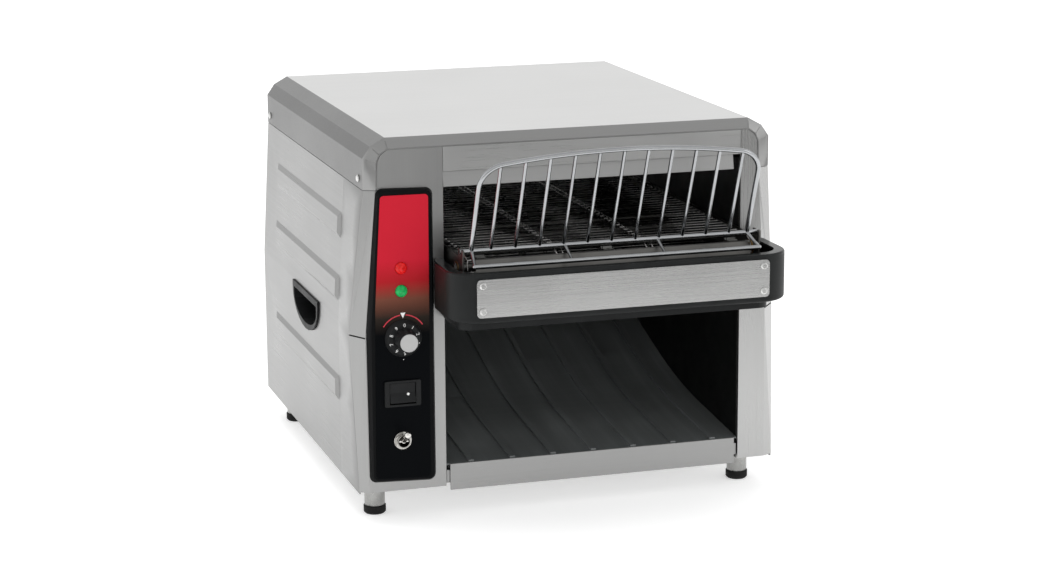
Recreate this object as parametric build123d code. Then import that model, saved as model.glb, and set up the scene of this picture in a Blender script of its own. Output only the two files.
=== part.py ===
"""Countertop conveyor toaster, drawn as separate named pieces, in millimetres.

Frame: +X is the operator's right, +Z is up and the front looks along -Y.  The pieces are drawn with
y = 0 on the front plane of the body, and moved by FRONT_Y as they are written, so that the finished
part's origin lies on the counter under the middle of its box.
"""
from build123d import *
import cmath
import math
import os

# ---------------------------------------------------------------- driving dimensions
SHEET = 1.2                 # stainless sheet thickness
BODY_HALF = 184.0           # half width at and below the crease
CREASE_HALF = 187.7         # half width where the crease meets the front corner
FLARE_Y = 70.0              # the sides widen towards the front from here
BODY_REAR = 376.0           # depth of the body behind its front plane
BODY_FLOOR = 26.0           # underside of the body above the counter
COLUMN_FLOOR = 28.0         # lower end of the front columns
CREASE_Z = 160.0            # where the side panels lean inwards
LID_HALF = 176.9            # half width of the lid
LID_SEAM_Z = 282.7          # lower edge of the lid
BODY_TOP = 325.0            # overall height
CREASE_SETBACK = 17.3       # how far the side's front edge lies back at the crease
TOP_SETBACK = 4.0           # and at the lid
FOOT_SETBACK = 5.0          # and at the floor

OPEN_LEFT = -110.4          # jambs of the feed opening and of the outlet
OPEN_RIGHT = 150.7
OPEN_TOP = 282.0
JAMB_DEPTH = 4.0            # the columns' edges fold back this far, then the chamber walls begin
HOOD_FOLD_Z = 295.0
HOOD_TOP_Z = 316.7
FACE_TOP = HOOD_TOP_Z - SHEET - 0.1     # top of the columns and hood, under the lid's front edge

TRAY_LEFT = -122.5          # black feed tray in front of the opening
TRAY_RIGHT = 169.5
TRAY_FRONT = -75.0
TRAY_BOTTOM = 183.0
TRAY_TOP = 223.5
TRAY_CORNER = 28.0

BELT_LEFT = -102.0          # wire conveyor belt
BELT_RIGHT = 145.0
BELT_AXIS_Z = 219.5
BELT_RADIUS = 12.8          # outside of the belt where it turns
BELT_THICK = 1.8
IDLER_Y = -28.0
DRIVE_Y = 262.0
SHAFT_R = 4.0
RUNNING_GAP = 0.05          # radial clearance of every running fit

PLATE_LEFT = -104.2         # stainless plate on the feed tray
PLATE_RIGHT = 146.6
PLATE_BOTTOM = 188.3
PLATE_TOP = 219.6
PLATE_SCREW_PROUD = 1.8

GLAND_PROUD = 6.0
FRONT_REACH = -TRAY_FRONT + SHEET + PLATE_SCREW_PROUD
REAR_REACH = BODY_REAR + GLAND_PROUD
FRONT_Y = (FRONT_REACH - REAR_REACH) / 2

LEG_X, LEG_FRONT_Y, LEG_REAR_Y = 164.0, 35.0, 342.0
LEG_R, PAD_R, PAD_HEIGHT = 8.75, 9.5, 7.0

KNOB_X, KNOB_Z = -147.5, 159.8
LAMP_X, RED_LAMP_Z, GREEN_LAMP_Z = -148.5, 218.4, 199.3
LAMP_R = 4.9
ROCKER_X, ROCKER_Z = -148.9, 113.2
ROCKER_W, ROCKER_H = 30.7, 21.8
TOGGLE_X, TOGGLE_Z = -149.3, 72.8
BEZEL_PROUD = 6.0
OVERLAY_THICK = 0.5
PANEL_Y = -BEZEL_PROUD - OVERLAY_THICK
BUSHING_R, BUSHING_HOLE = 5.4, 5.6

RACK_X = 21.0               # middle of the feed rack
RACK_HALF = 119.3
RACK_FOOT_Y, RACK_FOOT_Z = -40.0, 236.0
RACK_LEAN = (-0.3846, 0.9231)
RACK_RISE = 88.8

MOTOR_Y, MOTOR_Z = 325.0, 182.0
CHAIN_X = -118.5
CHAIN_PITCH = 6.35
MOTOR_TEETH, DRIVE_TEETH = 10, 20
FAN_X, FAN_Z, FAN_HALF = -147.0, 112.0, 30.0


# ---------------------------------------------------------------- small helpers
def block(x0, x1, y0, y1, z0, z1):
    """Box between two corners."""
    return Pos((x0 + x1) / 2, (y0 + y1) / 2, (z0 + z1) / 2) * Box(x1 - x0, y1 - y0, z1 - z0)


def rod(start, end, radius):
    """Round bar between two points."""
    line = Vector(*end) - Vector(*start)
    plane = Plane(origin=start, z_dir=line)
    return plane * Cylinder(radius, line.length, align=(Align.CENTER, Align.CENTER, Align.MIN))


def cone(start, end, radius_start, radius_end):
    """Tapered round bar between two points."""
    line = Vector(*end) - Vector(*start)
    plane = Plane(origin=start, z_dir=line)
    return plane * Cone(radius_start, radius_end, line.length, align=(Align.CENTER, Align.CENTER, Align.MIN))


def prism(points, direction):
    """Flat polygon through 3-D points, pushed along a vector."""
    face = Face(Wire.make_polygon([Vector(*p) for p in points], close=True))
    return Solid.extrude(face, Vector(*direction))


def prism_x(outline, x0, x1):
    """Outline of (y, z) points pushed from x0 to x1."""
    return prism([(x0, y, z) for y, z in outline], (x1 - x0, 0, 0))


def prism_y(outline, y0, y1):
    """Outline of (x, z) points pushed from y0 to y1."""
    return prism([(x, y0, z) for x, z in outline], (0, y1 - y0, 0))


def polyhedron(points, faces):
    """Closed solid from vertices and the corner numbers of its flat faces."""
    flats = [Face(Wire.make_polygon([Vector(*points[i]) for i in face], close=True)) for face in faces]
    return Solid(Shell(flats))


def slab(outer, inner):
    """Thin four-cornered sheet between an outer and an inner set of corners, split into triangles."""
    faces = [(0, 1, 2), (0, 2, 3), (4, 6, 5), (4, 7, 6)]
    for a, b in ((0, 1), (1, 2), (2, 3), (3, 0)):
        faces += [(a, a + 4, b), (b, a + 4, b + 4)]
    return polyhedron(list(outer) + list(inner), faces)


def ruled(outline_a, y_a, outline_b, y_b):
    """Solid between two (x, z) outlines with the same number of corners."""
    wires = [
        Wire.make_polygon([Vector(x, y, z) for x, z in outline], close=True)
        for outline, y in ((outline_a, y_a), (outline_b, y_b))
    ]
    return Solid.make_loft(wires, ruled=True)


def rounded(outline, radius):
    """Polygon with its corners turned into arcs; a bend of under 20 degrees stays as it is."""
    points = [complex(*p) for p in outline]
    result = []
    for before, here, after in zip(points[-1:] + points[:-1], points, points[1:] + points[:1]):
        a, b = (before - here) / abs(before - here), (after - here) / abs(after - here)
        opening = abs(cmath.phase(b / a))
        if math.pi - opening < math.radians(20):
            result.append((here.real, here.imag))
            continue
        centre = here + (a + b) / abs(a + b) * radius / math.sin(opening / 2)
        reach = radius / math.tan(opening / 2)
        start, end = here + a * reach - centre, here + b * reach - centre
        turn = cmath.phase(end / start)
        for i in range(7):
            point = centre + start * cmath.exp(1j * turn * i / 6)
            result.append((point.real, point.imag))
    return result


SCREW_R = 3.1
SHANK_SHARE = 0.42          # a screw's shank against its head


def drilled(shape, places):
    """Shape with a clearance hole for each screw."""
    for seat, direction in places:
        start = tuple(p - 4 * d for p, d in zip(seat, direction))
        end = tuple(p + 1 * d for p, d in zip(seat, direction))
        shape -= rod(start, end, SCREW_R * SHANK_SHARE + 0.1)
    return shape


def pan_head(x, y, z, direction, radius=3.0, proud=1.8):
    """Domed screw head with a short shank behind it."""
    dx, dy, dz = direction
    seat = (x, y, z)
    top = (x + dx * proud, y + dy * proud, z + dz * proud)
    neck = (x + dx * proud * 0.45, y + dy * proud * 0.45, z + dz * proud * 0.45)
    back = (x - dx * 3.0, y - dy * 3.0, z - dz * 3.0)
    head = rod(seat, neck, radius) + cone(neck, top, radius, radius * 0.62)
    return head + rod(back, seat, radius * SHANK_SHARE)


# ---------------------------------------------------------------- outer casing
LID_FLAT_HALF = 157.9
LID_OUTER = [
    (-LID_HALF, LID_SEAM_Z), (-LID_HALF, 308.6), (-170.2, 318.2), (-LID_FLAT_HALF, BODY_TOP),
    (LID_FLAT_HALF, BODY_TOP), (170.2, 318.2), (LID_HALF, 308.6), (LID_HALF, LID_SEAM_Z),
]
LID_FACE = [
    (-167.2, LID_SEAM_Z), (-166.6, 306.0), (-163.9, 312.0), (-157.5, HOOD_TOP_Z),
    (157.5, HOOD_TOP_Z), (163.9, 312.0), (166.6, 306.0), (167.2, LID_SEAM_Z),
]
# half width of the flat front face: at the lid seam, at the crease and at the floor
FACE_LEFT = (167.5, 178.0, 177.0)
FACE_RIGHT = (166.5, 174.0, 175.0)


def inset(outline, gap):
    """Lid outline moved inwards, and left open below."""
    moved = []
    for x, z in outline:
        side = math.copysign(1, x)
        if abs(z - LID_SEAM_Z) < 0.01:
            moved.append((x - side * gap, z - 5))
        elif abs(x) < 158:
            moved.append((x - side * gap * 0.3, z - gap))
        else:
            moved.append((x - side * gap * 0.85, z - gap * 0.5))
    return moved


def make_top_cover():
    skin = prism_y(LID_OUTER, TOP_SETBACK, BODY_REAR) + ruled(LID_OUTER, TOP_SETBACK, LID_FACE, 0)
    hollow = prism_y(inset(LID_OUTER, SHEET), TOP_SETBACK, BODY_REAR - SHEET)
    hollow += ruled(inset(LID_OUTER, SHEET), TOP_SETBACK, inset(LID_FACE, SHEET), 0)
    hollow += prism_y(inset(LID_FACE, SHEET), -1, 0.02)
    cover = skin - hollow
    cover = drilled(cover, cover_screw_places()[0])
    slit = 0.35
    for x, z in LID_FACE[1:4]:
        for side in (-1, 1):
            corner = min(LID_OUTER[1:4], key=lambda p: math.hypot(p[0] - x, p[1] - z))
            a, b = (side * -x, -0.5, z), (side * -corner[0], TOP_SETBACK, corner[1])
            mid = tuple(p + 0.72 * (q - p) for p, q in zip(a, b))
            cover -= rod((a[0] * 0.994, -0.6, a[2] * 0.997), mid, slit)
    return cover


def corner_strips(side, halves):
    """Two folded flanges that lead from the front face back to the side panel."""
    top, crease, foot = halves
    sheet = SHEET + 0.1
    pairs = (
        ((top, LID_SEAM_Z - 0.4, LID_HALF, TOP_SETBACK), (crease, CREASE_Z + 0.6, CREASE_HALF, CREASE_SETBACK)),
        ((crease, CREASE_Z - 0.6, CREASE_HALF, CREASE_SETBACK), (foot, COLUMN_FLOOR, BODY_HALF, FOOT_SETBACK)),
    )
    strips = []
    for (xa, za, wa, ya), (xb, zb, wb, yb) in pairs:
        outer = [(side * xa, 0, za), (side * wa, ya, za), (side * wb, yb, zb), (side * xb, 0, zb)]
        back = [(side * (xa - sheet), sheet, za), (side * (wa - sheet), ya, za),
                (side * (wb - sheet), yb, zb), (side * (xb - sheet), sheet, zb)]
        strips.append(slab(outer, back))
    return strips


def column_outline(side, halves, jamb):
    """Front face of a column, from the jamb to the casing's edge, tucked inside the lid's front edge."""
    top, crease, foot = halves
    outline = [(jamb, COLUMN_FLOOR), (jamb, FACE_TOP)]
    outline += [(side * 156.9, FACE_TOP), (side * 162.6, 311.2), (side * 165.2, 305.6)]
    outline += [(side * 165.8, LID_SEAM_Z - 0.4), (side * top, LID_SEAM_Z - 0.4)]
    outline += [(side * crease, CREASE_Z), (side * foot, COLUMN_FLOOR)]
    return outline


def make_column(side, halves, jamb):
    column = prism_y(column_outline(side, halves, jamb), 0, SHEET)
    flange = (jamb - SHEET, jamb) if side < 0 else (jamb, jamb + SHEET)
    column += block(*flange, 0, JAMB_DEPTH, COLUMN_FLOOR, OPEN_TOP)
    for strip in corner_strips(side, halves):
        column += strip
    return column


def make_control_column():
    column = make_column(-1, FACE_LEFT, OPEN_LEFT)
    for z in (RED_LAMP_Z, GREEN_LAMP_Z):
        column -= rod((LAMP_X, -2, z), (LAMP_X, 3, z), LAMP_R + 0.3)
    column -= rod((KNOB_X, -2, KNOB_Z), (KNOB_X, 3, KNOB_Z), 4.9)
    column -= block(ROCKER_X - 13.2, ROCKER_X + 13.2, -2, 3, ROCKER_Z - 9.8, ROCKER_Z + 9.8)
    column -= rod((TOGGLE_X, -2, TOGGLE_Z), (TOGGLE_X, 3, TOGGLE_Z), BUSHING_HOLE)
    return column


def make_right_column():
    return make_column(1, FACE_RIGHT, OPEN_RIGHT)


def side_section(side, crease):
    """Section of a side panel for one half width at the crease, with its flange under the lid."""
    seam = LID_SEAM_Z - 0.5
    outline = [
        (BODY_HALF, BODY_FLOOR), (crease, CREASE_Z), (LID_HALF, seam), (LID_HALF - 14, seam),
        (LID_HALF - 14, seam - SHEET), (LID_HALF - SHEET, seam - SHEET),
        (crease - SHEET, CREASE_Z), (BODY_HALF - SHEET, BODY_FLOOR),
    ]
    return [(side * x, z) for x, z in outline]


def side_half(z):
    """Half width of the side panels at a height, behind the flare."""
    return BODY_HALF - max(0.0, z - CREASE_Z) * (BODY_HALF - LID_HALF) / (LID_SEAM_Z - CREASE_Z)


def make_side_panel(side):
    """Side of the casing: creased, ribbed, a little wider towards its front corner."""
    front = BODY_HALF + (CREASE_HALF - BODY_HALF) * FLARE_Y / (FLARE_Y - CREASE_SETBACK)
    panel = prism_y(side_section(side, BODY_HALF), FLARE_Y, BODY_REAR - SHEET)
    panel += ruled(side_section(side, front), 0, side_section(side, BODY_HALF), FLARE_Y)
    gap = 0.3
    wedge = [
        (-5, BODY_FLOOR - 5), (FOOT_SETBACK + gap, BODY_FLOOR - 5), (FOOT_SETBACK + gap, BODY_FLOOR),
        (CREASE_SETBACK + gap, CREASE_Z), (TOP_SETBACK + gap, LID_SEAM_Z), (TOP_SETBACK + gap, 300), (-5, 300),
    ]
    panel -= prism_x(wedge, side * 150, side * 195)
    rise = 2.4
    slope = 5.0
    for z0, z1 in ((229.0, 253.0), (175.5, 199.5), (88.8, 112.8)):
        y0, y1 = 72.0, 325.0
        base = [(y0, z0), (y1, z0), (y1, z1), (y0, z1)]
        crown = [(y0 + slope, z0 + slope), (y1 - 2 * slope, z0 + slope),
                 (y1 - 2 * slope, z1 - slope), (y0 + slope, z1 - slope)]
        wires = []
        for ring, lift in ((base, -0.6), (crown, rise)):
            wires.append(Wire.make_polygon([Vector(side * (side_half(z) + lift), y, z) for y, z in ring], close=True))
        panel += Solid.make_loft(wires, ruled=True)
    panel -= handle_core(side, 2.0, BODY_HALF - 4, BODY_HALF + 4)
    return panel


HANDLE_Y0, HANDLE_Y1 = 144.0, 241.0
HANDLE_TOP, HANDLE_BOTTOM = 156.5, 129.0


def handle_core(side, grow, x0, x1):
    """D-shaped prism of the finger recess, grown outwards by a margin."""
    mid = (HANDLE_Y0 + HANDLE_Y1) / 2
    half = (HANDLE_Y1 - HANDLE_Y0) / 2 - 4 + grow
    top = HANDLE_TOP - 2 + grow
    low = HANDLE_BOTTOM + 2 - grow
    outline = [(mid - half, top - 6), (mid - half, top), (mid + half, top), (mid + half, top - 6)]
    steps = 12
    for i in range(1, steps):
        angle = math.pi * i / steps
        outline.append((mid + half * math.cos(angle), top - 6 - (top - 6 - low) * math.sin(angle)))
    return prism_x(outline, side * x0, side * x1)


def make_handle_cup(side):
    """Moulded finger recess: rim outside the panel, cup inside it."""
    rim = handle_core(side, 5.5, BODY_HALF, BODY_HALF + 1.8)
    cup = handle_core(side, 1.7, BODY_HALF - 22, BODY_HALF + 0.5)
    hollow = handle_core(side, 0.0, BODY_HALF - 20, BODY_HALF + 4)
    return rim + cup - hollow


def make_hood_panel():
    hood = block(OPEN_LEFT + 0.3, OPEN_RIGHT - 0.3, 0, SHEET, HOOD_FOLD_Z, FACE_TOP)
    hood += block(OPEN_LEFT + 0.3, OPEN_RIGHT - 0.3, 0, 14, FACE_TOP - SHEET, FACE_TOP)
    return hood


def make_hood_baffle():
    """Lower strip of the hood, leaning so that it faces a little upwards."""
    outline = [(3.4, HOOD_FOLD_Z + 5), (4.6, HOOD_FOLD_Z + 5), (4.6, HOOD_FOLD_Z), (2.2, OPEN_TOP + SHEET),
               (24, OPEN_TOP + SHEET), (24, OPEN_TOP), (1.0, OPEN_TOP), (3.4, HOOD_FOLD_Z)]
    return prism_x(outline, OPEN_LEFT + 0.6, OPEN_RIGHT - 6.0)


def make_base_pan():
    edge = BODY_HALF - SHEET - 0.3
    pan = block(-edge, edge, 14, BODY_REAR - SHEET - 0.3, BODY_FLOOR, BODY_FLOOR + 10)
    pan -= block(-edge + SHEET, edge - SHEET, 10, BODY_REAR - 2 * SHEET - 0.3, BODY_FLOOR + SHEET, BODY_FLOOR + 11)
    for x in (-150, -140, -130):
        for y in (90, 150, 210):
            pan -= block(x - 1.5, x + 1.5, y - 20, y + 20, BODY_FLOOR - 1, BODY_FLOOR + 2)
    for x in (-LEG_X, LEG_X):
        for y in (LEG_FRONT_Y, LEG_REAR_Y):
            pan -= rod((x, y, BODY_FLOOR - 1), (x, y, BODY_FLOOR + 2), 3.1)
    return pan


def make_rear_panel():
    """Closing panel between the sides, with louvre slots, a fan window and the cord entry."""
    y0, y1 = BODY_REAR - SHEET, BODY_REAR
    top = LID_SEAM_Z - 0.5
    outline = [(-BODY_HALF, BODY_FLOOR), (-BODY_HALF, CREASE_Z), (-LID_HALF, top),
               (LID_HALF, top), (BODY_HALF, CREASE_Z), (BODY_HALF, BODY_FLOOR)]
    panel = drilled(prism_y(outline, y0, y1), cover_screw_places()[1])
    slots = [block(x - 1.6, x + 1.6, y0 - 1, y1 + 1, 232, 268) for x in range(-60, 141, 10)]
    slots += [block(x - 1.6, x + 1.6, y0 - 1, y1 + 1, 60, 96) for x in range(-60, 141, 10)]
    for ring in (9, 15, 21):
        ring_band = rod((FAN_X, y0 - 1, FAN_Z), (FAN_X, y1 + 1, FAN_Z), ring + 2.0)
        ring_band -= rod((FAN_X, y0 - 2, FAN_Z), (FAN_X, y1 + 2, FAN_Z), ring - 1.2)
        spokes = block(FAN_X - 1.5, FAN_X + 1.5, y0 - 2, y1 + 2, FAN_Z - 30, FAN_Z + 30)
        spokes += block(FAN_X - 30, FAN_X + 30, y0 - 2, y1 + 2, FAN_Z - 1.5, FAN_Z + 1.5)
        slots.append(ring_band - spokes)
    slots.append(rod((GLAND_X, y0 - 1, GLAND_Z), (GLAND_X, y1 + 1, GLAND_Z), 7.2))
    for slot in slots:
        panel -= slot
    return panel


GLAND_X, GLAND_Z = -148.0, 54.0


def make_cord_gland():
    """Bushing in the rear panel where a supply cord would enter."""
    inside, outside = BODY_REAR - 10, BODY_REAR + GLAND_PROUD
    gland = rod((GLAND_X, inside, GLAND_Z), (GLAND_X, BODY_REAR, GLAND_Z), 7.0)
    gland += rod((GLAND_X, BODY_REAR, GLAND_Z), (GLAND_X, BODY_REAR + 3, GLAND_Z), 10.5)
    gland += cone((GLAND_X, BODY_REAR + 3, GLAND_Z), (GLAND_X, outside, GLAND_Z), 9.0, 7.0)
    return gland - rod((GLAND_X, inside - 1, GLAND_Z), (GLAND_X, outside + 1, GLAND_Z), 4.2)


def cover_screw_places():
    """Seats and outward directions of the lid's screws, and then of the rear panel's."""
    lid = [((side * LID_HALF, y, 290.5), (side, 0, 0)) for side in (-1, 1) for y in (17.0, 364.0)]
    lid += [((x, BODY_REAR, 292.0), (0, 1, 0)) for x in (-160.0, 0.0, 160.0)]
    rear = [((x, BODY_REAR, z), (0, 1, 0)) for z in (38.0, 160.0) for x in (-172.0, 172.0)]
    rear += [((x, BODY_REAR, 274.0), (0, 1, 0)) for x in (-160.0, 0.0, 160.0)]
    return lid, rear


def make_cover_screws():
    """Screws through the lid's skirts and along the rear panel's edges."""
    lid, rear = cover_screw_places()
    return [pan_head(*seat, direction, SCREW_R) for seat, direction in lid + rear]


# ---------------------------------------------------------------- feet
def make_legs():
    legs = []
    for x in (-LEG_X, LEG_X):
        for y in (LEG_FRONT_Y, LEG_REAR_Y):
            leg = rod((x, y, PAD_HEIGHT), (x, y, BODY_FLOOR), LEG_R)
            leg += rod((x, y, BODY_FLOOR), (x, y, BODY_FLOOR + 5), 3.0)
            legs.append(leg)
    return legs


def make_rubber_feet():
    pads = []
    for x in (-LEG_X, LEG_X):
        for y in (LEG_FRONT_Y, LEG_REAR_Y):
            pad = cone((x, y, 0), (x, y, 1.5), PAD_R - 1.5, PAD_R)
            pad += rod((x, y, 1.5), (x, y, PAD_HEIGHT), PAD_R)
            pads.append(pad)
    return pads


# ---------------------------------------------------------------- feed tray and name plate
def tray_face(x0, x1, front, corner, root, back):
    """Plan of the tray: narrow where it meets the body, rounded at its two front corners."""
    lead = 12.0
    points = [(x0 + root, back), (x0 + root, 0), (x0 + root * 0.2, -lead), (x0, front + corner + 1), (x0, front),
              (x1, front), (x1, front + corner + 1), (x1 - root * 0.2, -lead), (x1 - root, 0), (x1 - root, back)]
    points = [p for i, p in enumerate(points) if i == 0 or p != points[i - 1]]
    face = make_face(Polyline(*points, close=True))
    front_corners = [v for v in face.vertices() if abs(v.Y - front) < 1e-6]
    return fillet(front_corners, corner)


def tray_slab(margin, z0, z1, back):
    """One level of the tray, moved in from the outer wall by a margin."""
    face = tray_face(TRAY_LEFT + margin, TRAY_RIGHT - margin, TRAY_FRONT + margin,
                     TRAY_CORNER - margin, 3.9, back)
    return Pos(0, 0, z0) * extrude(face, z1 - z0)


def lower_slab(margin, z0, z1, back):
    """The shallower pan under the tray."""
    face = tray_face(-111.5 + margin, 157.5 - margin, -52.0 + margin, 10.0 - margin, 0.5, back)
    return Pos(0, 0, z0) * extrude(face, z1 - z0)


TRAY_WALL = 3.0
TRAY_RIM = 9.0
PAN_BOTTOM = 173.0
PLATE_SCREW_HOLE = 1.5


def make_feed_tray():
    tray = tray_slab(0, TRAY_BOTTOM, TRAY_TOP, 0)
    tray = fillet(tray.edges().filter_by(lambda e: e.center().Z > TRAY_TOP - 0.01 and e.center().Y < -0.5), 1.8)
    tray = fillet(tray.edges().filter_by(lambda e: e.center().Z < TRAY_BOTTOM + 0.01 and e.center().Y < -0.5), 2.5)
    tray += lower_slab(0, PAN_BOTTOM, TRAY_BOTTOM + 1, 0)
    tray -= tray_slab(TRAY_WALL, TRAY_BOTTOM + TRAY_WALL, TRAY_TOP - 2.2, 1)
    tray -= tray_slab(TRAY_RIM, TRAY_TOP - 4, TRAY_TOP + 1, 1)
    tray -= lower_slab(2.5, PAN_BOTTOM + 2.5, TRAY_BOTTOM + 5, 1)
    for x, z in plate_screw_places():
        tray -= rod((x, TRAY_FRONT - 1, z), (x, TRAY_FRONT + TRAY_WALL + 1, z), PLATE_SCREW_HOLE)
    return tray


def make_nameplate():
    """Blank stainless plate with rounded corners."""
    width, height = PLATE_RIGHT - PLATE_LEFT, PLATE_TOP - PLATE_BOTTOM
    centre = ((PLATE_LEFT + PLATE_RIGHT) / 2, TRAY_FRONT, (PLATE_BOTTOM + PLATE_TOP) / 2)
    plane = Plane(origin=centre, x_dir=(1, 0, 0), z_dir=(0, -1, 0))
    plate = extrude(plane * RectangleRounded(width, height, 3.5), SHEET)
    for x, z in plate_screw_places():
        plate -= rod((x, TRAY_FRONT - 3, z), (x, TRAY_FRONT + 1, z), PLATE_SCREW_HOLE)
    return plate


def plate_screw_places():
    """Centres of the four plate screws."""
    return [(x, z) for x in (PLATE_LEFT + 5, PLATE_RIGHT - 5) for z in (PLATE_BOTTOM + 5.2, PLATE_TOP - 5.2)]


def make_nameplate_screws():
    return [pan_head(x, TRAY_FRONT - SHEET, z, (0, -1, 0), 3.0, PLATE_SCREW_PROUD) for x, z in plate_screw_places()]


def make_tray_liner():
    """Sloping metal face behind the rack's foot, with three round collars."""
    outline = [(-44.5, 229.0), (-43.4, 229.6), (-56.4, 205.2), (-45.0, 203.2), (-45.0, 202.0), (-58.2, 204.4)]
    liner = prism_x(outline, -97.0, 140.0)
    for x in (-88.0, 21.5, 131.0):
        liner += rod((x - 5, -51.5, 214.5), (x + 5, -51.5, 214.5), 5.0)
    return liner


# ---------------------------------------------------------------- conveyor
RAIL_LEFT = (-107.6, -106.1)
RAIL_RIGHT = (148.6, 150.1)
LOWER_HEATER_Y = (36.0, 82.0, 128.0, 174.0, 220.0)
UPPER_HEATER_Y = (50.0, 100.0, 150.0, 200.0, 250.0)
UPPER_HEATER_Z = 291.0
HEATER_R = 3.3
BUSH_R = 6.5


def make_rail(x0, x1):
    """Side rail of the conveyor, holding the idler at its front end."""
    rail = block(x0, x1, -40, 280, 206, 232)
    rail += block(x0, x1, -46, -38, 212, 232)
    for y in LOWER_HEATER_Y:
        rail -= rod((x0 - 1, y, BELT_AXIS_Z), (x1 + 1, y, BELT_AXIS_Z), HEATER_R + 0.6)
    rail -= rod((x0 - 1, IDLER_Y, BELT_AXIS_Z), (x1 + 1, IDLER_Y, BELT_AXIS_Z), BUSH_R)
    rail -= rod((x0 - 1, DRIVE_Y, BELT_AXIS_Z), (x1 + 1, DRIVE_Y, BELT_AXIS_Z), SHAFT_R + 1.0)
    return rail


def stadium(radius, y0, y1, z, x0, x1):
    """Solid with round ends that a belt of this radius would enclose."""
    body = block(x0, x1, y0, y1, z - radius, z + radius)
    return body + rod((x0, y0, z), (x1, y0, z), radius) + rod((x0, y1, z), (x1, y1, z), radius)


def make_conveyor_belt():
    belt = stadium(BELT_RADIUS, IDLER_Y, DRIVE_Y, BELT_AXIS_Z, BELT_LEFT, BELT_RIGHT)
    return belt - stadium(BELT_RADIUS - BELT_THICK, IDLER_Y, DRIVE_Y, BELT_AXIS_Z, BELT_LEFT - 1, BELT_RIGHT + 1)


def ring_x(x0, x1, y, z, outer, inner):
    """Round ring about an axis along X."""
    return rod((x0, y, z), (x1, y, z), outer) - rod((x0 - 1, y, z), (x1 + 1, y, z), inner)


def toothed_wheel(x0, x1, y, z, tip, root, bore, teeth):
    """Wheel with trapezoid teeth about an axis along X."""
    outline = []
    step = 2 * math.pi / teeth
    for i in range(teeth):
        for part, radius in ((-0.30, root), (-0.14, tip), (0.14, tip), (0.30, root)):
            angle = (i + part) * step
            outline.append((y + radius * math.cos(angle), z + radius * math.sin(angle)))
    return prism_x(outline, x0, x1) - rod((x0 - 1, y, z), (x1 + 1, y, z), bore)


ROLLER_X = (-88.0, 21.5, 131.0)
ROLLER_TIP = BELT_RADIUS - BELT_THICK - 0.6


def belt_rollers(y):
    """Toothed rollers that sit just inside the belt, pressed onto their shaft."""
    return [toothed_wheel(x - 4, x + 4, y, BELT_AXIS_Z, ROLLER_TIP, ROLLER_TIP - 2.2, SHAFT_R, 12) for x in ROLLER_X]


def make_idler_shaft():
    shaft = rod((-110.0, IDLER_Y, BELT_AXIS_Z), (152.6, IDLER_Y, BELT_AXIS_Z), SHAFT_R)
    for x in (-109.2, 151.4):
        shaft += ring_x(x - 0.4, x + 0.4, IDLER_Y, BELT_AXIS_Z, SHAFT_R + 2, SHAFT_R - 0.5)
    return shaft


def make_drive_shaft():
    return rod((-121.3, DRIVE_Y, BELT_AXIS_Z), (157.0, DRIVE_Y, BELT_AXIS_Z), SHAFT_R)


WALL_LEFT = (OPEN_LEFT - SHEET, OPEN_LEFT)
WALL_RIGHT = (OPEN_RIGHT, OPEN_RIGHT + SHEET)


def make_shaft_bushes():
    """Flanged bushes: two carry the idler in the rails, two carry the drive shaft in the walls."""
    bushes = []
    for (x0, x1), y, flange_side in (
        (RAIL_LEFT, IDLER_Y, 1), (RAIL_RIGHT, IDLER_Y, -1), (WALL_LEFT, DRIVE_Y, -1), (WALL_RIGHT, DRIVE_Y, 1)
    ):
        hole = SHAFT_R + RUNNING_GAP
        bush = ring_x(x0, x1, y, BELT_AXIS_Z, BUSH_R, hole)
        if flange_side > 0:
            bush += ring_x(x1, x1 + 1.0, y, BELT_AXIS_Z, BUSH_R + 1.5, hole)
        else:
            bush += ring_x(x0 - 1.0, x0, y, BELT_AXIS_Z, BUSH_R + 1.5, hole)
        bushes.append(bush)
    return bushes


def make_inner_wall(x0, x1):
    """Wall of the toasting chamber."""
    wall = block(x0, x1, JAMB_DEPTH + 0.3, 352, BODY_FLOOR + SHEET + 0.2, 305)
    wall -= rod((x0 - 1, DRIVE_Y, BELT_AXIS_Z), (x1 + 1, DRIVE_Y, BELT_AXIS_Z), BUSH_R)
    for y in LOWER_HEATER_Y:
        wall -= rod((x0 - 1, y, BELT_AXIS_Z), (x1 + 1, y, BELT_AXIS_Z), HEATER_R + 0.6)
    for y in UPPER_HEATER_Y:
        wall -= rod((x0 - 1, y, UPPER_HEATER_Z), (x1 + 1, y, UPPER_HEATER_Z), HEATER_R + 0.6)
    return wall


def heater_set(places, z):
    """Sheathed rod heaters across the chamber, each with insulated ends."""
    rods = []
    for y in places:
        heater = rod((-124, y, z), (163, y, z), HEATER_R)
        heater += rod((-133, y, z), (-124, y, z), 1.2) + rod((163, y, z), (171, y, z), 1.2)
        heater += rod((-119, y, z), (-114, y, z), 5.0) + rod((154, y, z), (159, y, z), 5.0)
        rods.append(heater)
    return rods


def make_upper_reflector():
    """Shallow inverted trough above the upper heaters."""
    outline = [(34, 287), (34, 303), (268, 303), (268, 287), (266.8, 287), (266.8, 301.8), (35.2, 301.8), (35.2, 287)]
    return prism_x(outline, OPEN_LEFT + 0.3, OPEN_RIGHT - 0.3)


def make_lower_reflector():
    """Tray under the belt that throws the heat upwards."""
    outline = [(28, 203), (28, 195), (270, 195), (270, 203), (268.8, 203), (268.8, 196.2), (29.2, 196.2), (29.2, 203)]
    return prism_x(outline, OPEN_LEFT + 0.3, OPEN_RIGHT - 0.3)


# ---------------------------------------------------------------- drive
def pitch_radius(teeth):
    """Radius of the chain's pitch circle on a wheel."""
    return CHAIN_PITCH / (2 * math.sin(math.pi / teeth))


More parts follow.
